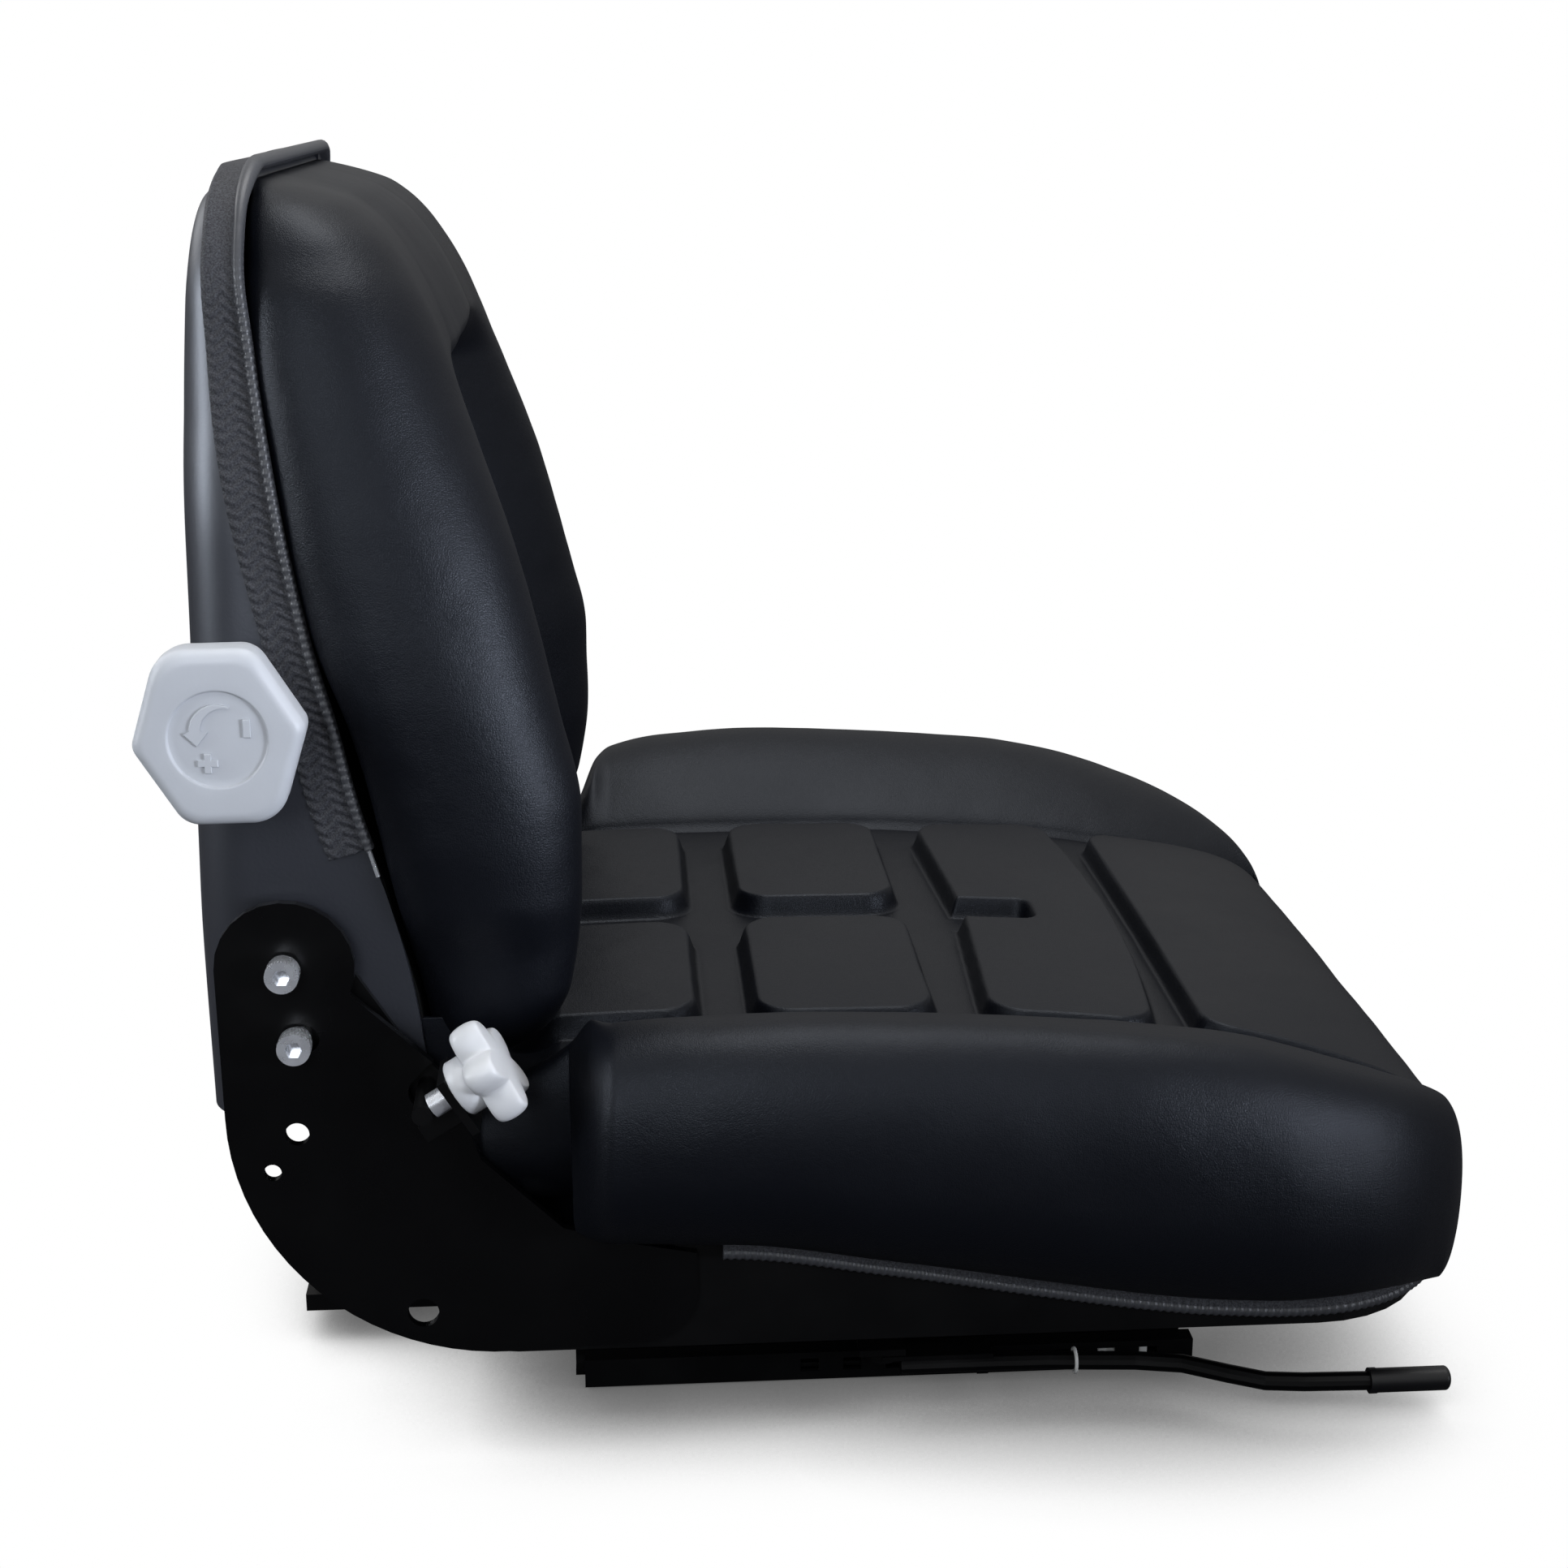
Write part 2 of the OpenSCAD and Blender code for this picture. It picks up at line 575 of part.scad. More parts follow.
// Piping band that holds the cover on the pan's rim
trim_rear = -76;
module seat_trim() {
  out = 2.8;
  r = front_r + out;
  h = pan_half + out;
  path = concat(
    [for (x = [trim_rear, -40, -7, 30, 59, 100, 135, 160]) [x, -h]],
    [for (a = [-90:7.5:0]) [pan_front - front_r, -h + r] + r * [cos(a), sin(a)]],
    [for (y = [-60, 0, 60]) [pan_front + out, y]],
    [for (a = [0:7.5:90]) [pan_front - front_r, h - r] + r * [cos(a), sin(a)]],
    [for (x = [160, 135, 100, 59, 30, -7, -40, trim_rear]) [x, h]]
  );
  n = len(path);
  function side_of(i) = let (
      a = path[max(i - 1, 0)], b = path[min(i + 1, n - 1)], d = b - a
    ) [d[1], -d[0]] / norm(d);
  band = [[-2.4, -10], [2.4, -9.2], [3.2, -1], [5, 2.5], [3, 5.6], [-0.8, 5.6], [-2.4, 2.5]];
  rings = [for (i = [0:n - 1]) let (q = path[i], s = side_of(i), z = rim_z(q[0]) - 7)
    [for (b = band) [q[0] + s[0] * b[0], q[1] + s[1] * b[0], z + b[1]]]];
  color([0.1, 0.1, 0.11]) loft(rings);
}

// BACK SHELL
shell_foot = 150;
// Front edge of the shell as [height, distance from the origin]
rim_x_pts = [[150, -190], [201, -196], [245, -206], [262, -212], [279, -217], [311, -224], [342, -232],
  [403, -243], [450, -249], [482, -252], [500, -251.5], [520, -248]];
rear_pts = [[150, -2], [222, -2.5], [269, -1.5], [344, 0.1], [400, 0.9], [436, 2.5], [468, 4.9], [481, 6.4],
  [494, 8.2], [504, 10.9], [508, 14], [511, 18], [513, 23], [514, 26.5]];
// The tables below hold heights for a top at 514, and stretch above the textile band's foot
band_foot = 262;
stretch = (back_top - band_foot) / (514 - band_foot);
function up(z) = z <= band_foot ? z : band_foot + (z - band_foot) * stretch;
function table_z(z) = z <= band_foot ? z : band_foot + (z - band_foot) / stretch;
function shell_rim_x(z) = lookup(table_z(z), rim_x_pts);
function corner_half(z, top, w) = let (r = 48, q = z - (top - r))
  q <= 0 ? w : w - r + sqrt(max(r * r - q * q, 0));
function shell_half_at(z) = lookup(table_z(z), [[150, shell_half], [262, shell_half], [380, shell_half - 4],
  [480, shell_half_top], [520, shell_half_top - 2]]);
function shell_back_x(z) = shell_rear + lookup(table_z(z), rear_pts);
shell_zs = [for (z = [shell_foot, 200, 250, 262, 300, 340, 380, 420, 450, 466, 482, 494, 503,
    508, 511, 513, 514]) up(z)];
shell_r = 24; // radius of the shell's upright rear corners
crown = 2; // bulge of the rear wall
// One U of the shell at a height, from one rim round the back to the other
function shell_u(z, inset) = let (
    w = corner_half(z, back_top, shell_half_at(z)) - inset,
    xf = shell_rim_x(z),
    deep = xf - shell_back_x(z),
    d = max(deep - inset, deep * 0.3),
    r = min(shell_r - inset, d * 0.8),
    zz = inset > 0 ? z - inset * (1 - smooth(max(0, min(1, (back_top - 6 - z) / 26)))) : z,
    side = concat(
      [[0, w], [(d - r) * 0.6, w]],
      [for (a = [90:-15:0]) [d - r + r * cos(a), w - r + r * sin(a)]],
      [[d + crown * 0.6, w * 0.45]]
    ),
    n = len(side)
  ) concat(
    [for (q = side) [xf - q[0], -q[1], zz]],
    [[xf - d - crown * min(1, d / 12), 0, zz]],
    [for (i = [n - 1:-1:0]) [xf - side[i][0], side[i][1], zz]]
  );
// A wall of even thickness between two grids of points
module wall_between(outer, inner) {
  n = len(outer[0]);
  m = len(outer);
  q = n * m;
  polyhedron(
    points = concat([for (r = outer) each r], [for (r = inner) each r]),
    faces = concat(
      [for (j = [0:m - 2]) for (i = [0:n - 2]) let (a = j * n + i)
        each [[a, a + n, a + n + 1], [a, a + n + 1, a + 1],
              [q + a, q + a + n + 1, q + a + n], [q + a, q + a + 1, q + a + n + 1]]],
      [for (j = [0:m - 2]) let (a = j * n, b = j * n + n - 1)
        each [[a, q + a, q + a + n], [a, q + a + n, a + n], [b, b + n, q + b + n], [b, q + b + n, q + b]]],
      [for (i = [0:n - 2]) let (a = i, b = (m - 1) * n + i)
        each [[a, a + 1, q + a + 1], [a, q + a + 1, q + a], [b, q + b, q + b + 1], [b, q + b + 1, b + 1]]]
    )
  );
}
module back_shell() {
  color(steel) difference() {
    wall_between([for (z = shell_zs) shell_u(z, 0)], [for (z = shell_zs) shell_u(z, shell_wall)]);
    // Slot that the knob's shaft sits in while the back reclines
    for (i = [0:3]) let (p = turned([knob_x, knob_z] - ear_c, -recline * i / 3))
      pin_y(p[0], p[1], 2 * shaft_r + 3, -shell_half - 10, -shell_half + 60);
    for (side = [-1, 1]) for (p = [ear_c, ear_c + guide_at])
      pin_y(p[0], p[1], screw_d + 2 * gap, side * shell_half - 10, side * shell_half + 10);
  }
}

// BACK BOARD AND CUSHION
board_zs = [for (z = [166, 200, 250, 262, 300, 340, 380, 420, 450, 466, 482]) up(z)];
board_t = 4;
function board_x(z) = shell_rim_x(z) + 1;
module back_board() {
  rings = [for (z = board_zs) let (
      w = corner_half(z, back_top, shell_half_at(z)) - shell_wall - gap,
      x = board_x(z)
    ) [[x, -w, z], [x, w, z], [x - board_t, w, z], [x - board_t, -w, z]]];
  color(black) loft(rings);
}
front_pts = [[170, -152], [184, -141], [199, -135], [240, -129.5], [273, -129.5], [311, -136.5],
    [368, -150.6],
  [435, -173], [470, -189], [488, -201], [498, -213], [504, -228]];
side_pts = [[170, 176], [184, 184], [199, 189], [240, 196], [273, 196], [311, 195], [368, 190], [435, 180],
  [470, 169], [488, 155], [498, 141], [504, 122]];
recess_top = 436;
function back_ring(z) = let (
    xb = max(board_x(z), lookup(table_z(z), [[150, -186], [201, -192], [245, -203], [300, -223],
        [350, -231], [520, -260]])) + eps,
    xf = lookup(table_z(z), front_pts),
    w = lookup(table_z(z), side_pts),
    d = xf - xb,
    dip = recess * smooth(min(1, max(0, (recess_top - table_z(z)) / 26))) + 3,
    mid = min(xf - dip, xf - 2),
    rr = min(52, w * 0.3)
  ) concat(
    [[xb, 0], [xb, min(w * 0.9, shell_half_at(z) - 6)], [xb + min(3.6, d * 0.06), min(w * 0.93,
        shell_half_at(z) - 5)]],
    [for (a = [-55, -25, 0]) [xb + d * 0.42 + d * 0.42 * sin(a), w * (0.94 + 0.06 * cos(a))]],
    [for (a = [25, 50, 72, 90]) [xb + d * 0.42 + d * 0.58 * sin(a), w - rr + rr * cos(a)]],
    [for (s = [0.75, 0.5, 0.25, 0]) [mid + (xf - mid) * smooth(s), w * 0.36 + (w - rr - w * 0.36) * s]]
  );
back_zs = [for (z = [170, 176, 184, 199, 220, 240, 273, 311, 345, 380, 408, 424, 436, 455, 472,
    486, 496, 504]) up(z)];
module back_cushion() {
  rings = [for (z = back_zs) let (h = back_ring(z), n = len(h)) concat(
    [for (i = [1:n - 1]) [h[i][0], -h[i][1], z]],
    [for (i = [n - 1:-1:0]) [h[i][0], h[i][1], z]]
  )];
  color(black) loft(rings);
}

// Textile band round the shell's rim
module back_trim() {
  zs = [for (z = [band_foot, 300, 340, 380, 420, 450, 466, 482, 494, 503, 508, 511, 513, 514]) up(z)];
  wide = 13;
  half = [for (z = zs) let (w = corner_half(z, back_top, shell_half_at(z)), x = shell_rim_x(z))
    [x, w, z]];
  top = [for (y = [90, 60, 30, 0]) [shell_rim_x(back_top) + 1.5 * (1 - y / 100), y, back_top + 0.1]];
  path = concat(half, top, [for (i = [2:-1:0]) [top[i][0], -top[i][1], top[i][2]]],
    [for (i = [len(half) - 1:-1:0]) [half[i][0], -half[i][1], half[i][2]]]);
  n = len(path);
  function out_of(i) = let (d = path[min(i + 1, n - 1)] - path[max(i - 1, 0)], v = [d[2], -d[1]])
    -v / norm(v) * -1;
  sec = [[0.05, -2.6], [2.6, -2.6], [2.6, 2.6], [-wide + 2, 2.2], [-wide, 0.15], [0.05, 0.15]];
  rings = [for (i = [0:n - 1]) let (p = path[i], o = out_of(i))
    [for (q = sec) [p[0] + q[0], p[1] + o[0] * q[1], p[2] + o[1] * q[1]]]];
  color([0.13, 0.13, 0.14]) loft([for (r = rings) [for (k = [len(r) - 1:-1:0]) r[k]]]);
}
// Bare end of the wire inside the band
wire_x = shell_rim_x(band_foot);
wire_end = [[wire_x + 0.9, band_foot - 0.3], [wire_x + 3.9, band_foot - 11.1]];
wire_r = 0.9;
module rim_ends() {
  d = wire_end[1] - wire_end[0];
  color(zinc) for (side = [-1, 1]) translate([wire_end[0][0], side * (shell_half + wire_r), wire_end[0][1]])
    rotate([0, atan2(d[0], d[1]), 0]) cylinder(r = wire_r, h = norm(d));
}

// RECLINE HARDWARE
bracket_t = 3;
sleeve_d = 11;
module back_bracket(side) {
  color(steel) on_side(side) along_y(-shell_half - bracket_t, -shell_half) difference() {
    polygon(concat(
      arc(ear_c, 21, 10, 180, 8),
      arc([-256, 178], 10, 180, 270, 4),
      arc(pin_at, 8, 250, 400, 6),
      [[-200, 182]]
    ));
    translate(ear_c) circle(d = screw_d);
    translate(ear_c + guide_at) circle(d = screw_d);
  }
}
head_d = 13;
head_h = 8;
module socket_screw(p) {
  y_head = -plate_out - 2;
  translate([p[0], 0, p[1]]) rotate([90, 0, 0]) difference() {
    union() {
      translate([0, 0, shell_half - 2]) cylinder(d = screw_d, h = plate_out + 2 - shell_half + 2);
      translate([0, 0, plate_out + 2]) cylinder(d = head_d, h = head_h);
    }
    translate([0, 0, plate_out + 2 + head_h - 4.5]) cylinder(d = 7, h = 6, $fn = 6);
  }
}
module pivot_screws() {
  color(zinc) for (s = [-1, 1]) mirror([0, s > 0 ? 1 : 0, 0]) {
    socket_screw(ear_c);
    socket_screw(ear_c + guide_at);
  }
}
module screw_sleeves() {
  color([0.6, 0.61, 0.62]) for (s = [-1, 1]) mirror([0, s > 0 ? 1 : 0, 0]) for (p = [ear_c,
      ear_c + guide_at])
    translate([p[0], 0, p[1]]) rotate([90, 0, 0]) translate([0, 0, shell_half + bracket_t]) difference() {
      cylinder(d = sleeve_d, h = plate_out + 2 - shell_half - bracket_t);
      translate([0, 0, -1]) cylinder(d = screw_d, h = 20);
    }
}
stop_d = 8;
module stop_pin() {
  color(steel) pin_y(pin_at[0], pin_at[1], stop_d, star_c[1] - 5, -shell_half - bracket_t);
}

// STAR KNOB
star_c = [-165.8, -plate_out - 18, 180.4]; // middle of the star's head
star_up = 32; // the knob's axis rises this many degrees to the front
collar_r = 11.5;
collar_l = 8.5;
module at_star(shift) {
  translate(star_c) rotate([0, 90 - star_up, 0]) translate([0, 0, shift]) children();
}
module star_shape(r) {
  valley = r * 0.63;
  lobe = r * 0.29;
  circle(r = valley);
  for (i = [0:4]) rotate(72 * i + 18) translate([r - lobe, 0]) circle(r = lobe, $fn = 24);
}
module star_knob() {
  color([0.93, 0.93, 0.94]) difference() {
    union() {
      at_star(-star_t / 2) linear_extrude(2) star_shape(star_r - 1.2);
      at_star(-star_t / 2 + 2 - eps) linear_extrude(star_t - 4 + 2 * eps) star_shape(star_r);
      at_star(star_t / 2 - 2) linear_extrude(2) star_shape(star_r - 1.2);
      at_star(-star_t / 2 - collar_l) cylinder(r = collar_r, h = collar_l + eps);
    }
    at_star(-star_t / 2 - collar_l - 1) cylinder(r = stud_r + fit, h = collar_l + 12);
  }
}
stud_r = 5;
stud_tip = -(norm([star_c[0], star_c[2]] - pin_at) - stop_d / 2 - gap);
module star_stud() {
  color(zinc) at_star(stud_tip) cylinder(r = stud_r, h = -stud_tip - star_t / 2 + 3);
}
tab_t = 3.5;
tab_at = -star_t / 2 - collar_l - 1 - tab_t;
foot_at = -42;
// A bent tab on the side plate's edge, threaded for the star knob's stud
module star_bracket() {
  reach = -plate_out - star_c[1];
  color(steel) difference() {
    union() {
      at_star(tab_at) translate([-8, -7, 0]) cube([25, reach + 7, tab_t]);
      at_star(foot_at) translate([9.5, reach - 3, 0]) cube([7.5, 3, tab_at + tab_t - foot_at]);
    }
    at_star(tab_at - 1) cylinder(r = stud_r + fit, h = 6);
  }
}

// LEVER
lever_pin = [notch_x - 45, -rail_y - 27];
hub_t = 4;
pin_d = 6;
rod_z = base_z - gap - hub_t - 2;
// A tab on the upper rail that carries the lever's pin
module latch_bracket() {
  color(steel) {
    translate([lever_pin[0] - 10, lever_pin[1] - 9, base_z]) cube([20, -rail_y +
        hat_half - lever_pin[1] + 9, base_t]);
    translate([lever_pin[0], lever_pin[1], base_z - gap - hub_t - 1])
      cylinder(d = pin_d - 2 * fit, h = gap + hub_t + 1 + eps);
  }
}
hub_r = 8;
tooth_x = notch_x;
tooth_w = 5;
rod_y = lever_pin[1] - 1.5 - rod_d / 2; // the rod's distance from the middle where it leaves the hub
lever_path = [[lever_pin[0] + hub_r + 0.2, rod_y], [40, rod_y], [66, rod_y - 0.5], [104, -156],
    [124, -160], [142, -170], [156, -177], [172, -179], [200, -180]];
module lever_rod() {
  n = len(lever_path);
  sides = 12;
  rings = [for (i = [0:n - 1]) let (
      a = lever_path[max(i - 1, 0)], b = lever_path[min(i + 1, n - 1)], d = (b - a) / norm(b - a),
      s = [-d[1], d[0]], p = lever_path[i]
    ) [for (k = [0:sides - 1]) let (t = 360 * k / sides)
        [p[0] + s[0] * rod_d / 2 * cos(t), p[1] + s[1] * rod_d / 2 * cos(t), rod_z + rod_d / 2 * sin(t)]]];
  color(black) loft(rings);
}
// Hub on the lever's pin, and the tooth that drops into the lower rail's notches
module lever_latch() {
  tip_y = -rail_y - rail_w / 2 - gap - 0.1;
  color(steel) difference() {
    union() {
      translate([lever_pin[0], lever_pin[1], base_z - gap - hub_t]) cylinder(r = hub_r, h = hub_t);
      translate([lever_pin[0], rod_y - rod_d / 2, base_z - gap - 2])
        cube([tooth_x - lever_pin[0] + 3, lever_pin[1] + 3 - rod_y + rod_d / 2, 2]);
      translate([tooth_x - tooth_w / 2, -rail_y - rail_w / 2 - 9, notch_z + 0.8]) cube([tooth_w,
          2, base_z - gap - notch_z - 0.8]);
      translate([tooth_x - tooth_w / 2, -rail_y - rail_w / 2 - 9, notch_z + 0.8])
        cube([tooth_w, tip_y + rail_y + rail_w / 2 + 9, notch_h - 1.6]);
    }
    translate([lever_pin[0], lever_pin[1], 0]) cylinder(d = pin_d, h = 60);
  }
}
module lever_grip() {
  color([0.07, 0.07, 0.08]) translate([200, -180, rod_z]) rotate([0, 90, 0]) {
    cylinder(d = 10.4, h = 33);
    translate([0, 0, 33]) scale([1, 1, 0.5]) sphere(d = 10.4);
    cylinder(d = 11, h = 3);
  }
}
module lever_clip() {
  color("white") translate([78, -153.8, rod_z]) rotate([0, 90, 0]) rotate_extrude()
    translate([rod_d / 2 + 1.05, 0]) circle(r = 0.8, $fn = 16);
}

lower_rail(-1);  // lower_rail_right
lower_rail(1);  // lower_rail_left
upper_rail(-1);  // upper_rail_right
upper_rail(1);  // upper_rail_left
slide_shoes();
base_frame();
guide_posts();
post_tie();
spring_collars();
rebound_rings();
latch_bracket();
lever_latch();
lever_rod();
lever_grip();
lever_clip();
coil(-1);  // spring_right
coil(1);  // spring_left
lower_beam();
upper_beam();
beam_uprights();
guide_bushes();
gearbox();
side_plate(-1);  // side_plate_right
side_plate(1);  // side_plate_left
seat_pan();
seat_cushion();
cushion_tail();
seat_trim();
bump_stops();
pan_screws();
star_bracket();
preload_bar();
preload_screw();
weight_knob();
knob_shaft();
star_knob();
star_stud();
back_shell();
back_board();
back_cushion();
back_trim();
back_bracket(-1);  // back_bracket_right
back_bracket(1);  // back_bracket_left
pivot_screws();
screw_sleeves();
stop_pin();
rim_ends();
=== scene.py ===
"""Compact tractor suspension seat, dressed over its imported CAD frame. Lengths in the code are millimetres, and mesh() turns them to metres."""
import json
import math

import bmesh
import bpy
import numpy as np
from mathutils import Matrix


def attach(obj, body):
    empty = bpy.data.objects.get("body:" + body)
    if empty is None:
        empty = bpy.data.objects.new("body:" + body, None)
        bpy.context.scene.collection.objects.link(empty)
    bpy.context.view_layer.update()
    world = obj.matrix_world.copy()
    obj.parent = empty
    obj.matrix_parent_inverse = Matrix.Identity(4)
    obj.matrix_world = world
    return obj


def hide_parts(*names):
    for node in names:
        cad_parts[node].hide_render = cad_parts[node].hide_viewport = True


MM = 0.001
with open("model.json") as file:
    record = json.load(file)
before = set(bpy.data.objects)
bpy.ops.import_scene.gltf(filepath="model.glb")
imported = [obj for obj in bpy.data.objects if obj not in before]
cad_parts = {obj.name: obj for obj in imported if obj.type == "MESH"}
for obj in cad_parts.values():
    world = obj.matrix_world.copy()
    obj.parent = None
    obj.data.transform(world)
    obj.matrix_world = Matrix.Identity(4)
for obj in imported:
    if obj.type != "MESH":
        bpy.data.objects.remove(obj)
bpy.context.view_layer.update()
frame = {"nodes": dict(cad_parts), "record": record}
nodes = frame["nodes"]
rng = np.random.default_rng(11)


# ---------------------------------------------------------------- helpers
def mesh(name, verts, faces, mat=None, smooth=True):
    me = bpy.data.meshes.new(name)
    me.from_pydata([tuple(v) for v in np.asarray(verts, float) * MM], [], [tuple(map(int, f)) for f in faces])
    me.validate()
    o = bpy.data.objects.new(name, me)
    bpy.context.scene.collection.objects.link(o)
    bm = bmesh.new()
    bm.from_mesh(me)
    bmesh.ops.recalc_face_normals(bm, faces=bm.faces)
    bm.to_mesh(me)
    bm.free()
    if smooth:
        me.polygons.foreach_set("use_smooth", [True] * len(me.polygons))
    if mat:
        me.materials.append(mat)
    return o


def pchip(xs, ys):
    """Monotone cubic through points, as a function of an array."""
    xs, ys = np.asarray(xs, float), np.asarray(ys, float)
    h, d = np.diff(xs), np.diff(ys) / np.diff(xs)
    m = np.zeros(len(xs))
    m[0], m[-1] = d[0], d[-1]
    for i in range(1, len(xs) - 1):
        if d[i - 1] * d[i] > 0:
            w1, w2 = 2 * h[i] + h[i - 1], h[i] + 2 * h[i - 1]
            m[i] = (w1 + w2) / (w1 / d[i - 1] + w2 / d[i])

    def f(x):
        x = np.clip(np.asarray(x, float), xs[0], xs[-1])
        i = np.clip(np.searchsorted(xs, x) - 1, 0, len(xs) - 2)
        t = (x - xs[i]) / h[i]
        a, b = t * t * (3 - 2 * t), t * t * t - t * t
        return ys[i] * (1 - a) + ys[i + 1] * a + h[i] * (m[i] * (b - t * t + t) + m[i + 1] * b)

    return f


def ease(t):
    t = np.clip(t, 0, 1)
    return t * t * (3 - 2 * t)


def grid_faces(rows, cols, closed=True):
    n = cols if closed else cols - 1
    return [(j * cols + i, j * cols + (i + 1) % cols, (j + 1) * cols + (i + 1) % cols, (j + 1) * cols + i)
            for j in range(rows - 1) for i in range(n)]


def wave(p, scale, seed, octaves=3):
    """Smooth noise of points, from sums of sines in random directions."""
    r = np.random.default_rng(seed)
    out = np.zeros(len(p))
    for o in range(octaves):
        for _ in range(7):
            d = r.normal(size=3)
            d *= (2 ** o) / (scale * np.linalg.norm(d)) * r.uniform(0.6, 1.4) * 2 * math.pi
            out += np.sin(p @ d + r.uniform(0, 6.28)) / (7 ** 0.5 * 1.9 ** o)
    return out


def normals(o):
    me = o.data
    n = np.empty(len(me.vertices) * 3)
    me.vertices.foreach_get("normal", n)
    return n.reshape(-1, 3)


def coords(o):
    c = np.empty(len(o.data.vertices) * 3)
    o.data.vertices.foreach_get("co", c)
    return c.reshape(-1, 3)


def put(o, c):
    o.data.vertices.foreach_set("co", np.asarray(c, float).ravel())
    o.data.update()


def resample(pts, step):
    pts = np.asarray(pts, float)
    s = np.concatenate([[0], np.cumsum(np.linalg.norm(np.diff(pts, axis=0), axis=1))])
    t = np.linspace(0, s[-1], max(2, int(s[-1] / step) + 1))
    return np.stack([np.interp(t, s, pts[:, k]) for k in range(pts.shape[1])], 1), t


# -------------------------------------------------------------- materials
def material(name, color, rough, metal=0.0, spec=0.5, coat=0.0):
    m = bpy.data.materials.new(name)
    m.use_nodes = True
    b = m.node_tree.nodes["Principled BSDF"]
    b.inputs["Base Color"].default_value = (*color, 1)
    b.inputs["Roughness"].default_value = rough
    b.inputs["Metallic"].default_value = metal
    b.inputs["Specular IOR Level"].default_value = spec
    b.inputs["Coat Weight"].default_value = coat
    return m, m.node_tree, b


def node(nt, kind, **kw):
    n = nt.nodes.new(kind)
    for k, v in kw.items():
        if k in n.inputs.keys():
            n.inputs[k].default_value = v
        else:
            setattr(n, k, v)
    return n


def noise(nt, scale, detail=4, rough=0.5, vec=None):
    n = node(nt, "ShaderNodeTexNoise", Scale=scale, Detail=detail, Roughness=rough)
    tc = nt.nodes.new("ShaderNodeTexCoord")
    nt.links.new(vec or tc.outputs["Object"], n.inputs["Vector"])
    return n


def bump(nt, bsdf, height, strength, dist, prev=None):
    b = node(nt, "ShaderNodeBump", Strength=strength, Distance=dist)
    nt.links.new(height, b.inputs["Height"])
    if prev:
        nt.links.new(prev.outputs["Normal"], b.inputs["Normal"])
    nt.links.new(b.outputs["Normal"], bsdf.inputs["Normal"])
    return b


def ramp(nt, fac, stops):
    r = nt.nodes.new("ShaderNodeValToRGB")
    while len(r.color_ramp.elements) < len(stops):
        r.color_ramp.elements.new(0.5)
    for e, (p, c) in zip(r.color_ramp.elements, stops):
        e.position = p
        e.color = (c, c, c, 1) if isinstance(c, float) else (*c, 1)
    nt.links.new(fac, r.inputs["Fac"])
    return r


def vinyl_material():
    m, nt, b = material("black_vinyl", (0.0016, 0.0020, 0.0038), 0.43, spec=0.26)
    b.inputs["Specular Tint"].default_value = (0.84, 0.90, 1.0, 1)
    tc = nt.nodes.new("ShaderNodeTexCoord")
    v = node(nt, "ShaderNodeTexVoronoi", Scale=1150.0)
    v.feature = "DISTANCE_TO_EDGE"
    nt.links.new(tc.outputs["Object"], v.inputs["Vector"])
    g = ramp(nt, v.outputs["Distance"], [(0.0, 0.0), (0.22, 1.0)])
    n1 = noise(nt, 620, 3, 0.6)
    b1 = bump(nt, b, g.outputs["Color"], 0.16, 0.0005)
    b2 = bump(nt, b, n1.outputs["Fac"], 0.16, 0.0006, b1)
    n2 = noise(nt, 34, 4, 0.55)
    b3 = bump(nt, b, n2.outputs["Fac"], 0.10, 0.004, b2)
    n3 = noise(nt, 9, 3, 0.5)
    r = ramp(nt, n3.outputs["Fac"], [(0.3, 0.38), (0.7, 0.47)])
    nt.links.new(r.outputs["Color"], b.inputs["Roughness"])
    return m


def paint_material(name, color, rough, spec=0.5, coat=0.0):
    m, nt, b = material(name, color, rough, spec=spec, coat=coat)
    n = noise(nt, 320, 3)
    bump(nt, b, n.outputs["Fac"], 0.05, 0.0006)
    n2 = noise(nt, 25, 4)
    r = ramp(nt, n2.outputs["Fac"], [(0.35, max(rough - 0.05, 0.02)), (0.7, rough + 0.07)])
    nt.links.new(r.outputs["Color"], b.inputs["Roughness"])
    return m


def metal_material(name, color, rough, stretch=(1, 1, 1)):
    m, nt, b = material(name, color, rough, metal=0.8)
    tc = nt.nodes.new("ShaderNodeTexCoord")
    mp = nt.nodes.new("ShaderNodeMapping")
    mp.inputs["Scale"].default_value = stretch
    nt.links.new(tc.outputs["Object"], mp.inputs["Vector"])
    n = noise(nt, 140, 5, 0.6, mp.outputs["Vector"])
    r = ramp(nt, n.outputs["Fac"], [(0.3, rough * 0.7), (0.75, min(rough * 1.5, 0.9))])
    nt.links.new(r.outputs["Color"], b.inputs["Roughness"])
    bump(nt, b, n.outputs["Fac"], 0.06, 0.0003)
    return m


def plastic_material(name, color, rough, grain=0.08):
    m, nt, b = material(name, color, rough, spec=0.45)
    b.inputs["Subsurface Weight"].default_value = 0.0
    n = noise(nt, 900, 2)
    b1 = bump(nt, b, n.outputs["Fac"], grain, 0.0003)
    n2 = noise(nt, 60, 4)
    bump(nt, b, n2.outputs["Fac"], 0.05, 0.001, b1)
    c = ramp(nt, n2.outputs["Fac"], [(0.3, tuple(x * 0.955 for x in color)), (0.7, color)])
    nt.links.new(c.outputs["Color"], b.inputs["Base Color"])
    return m


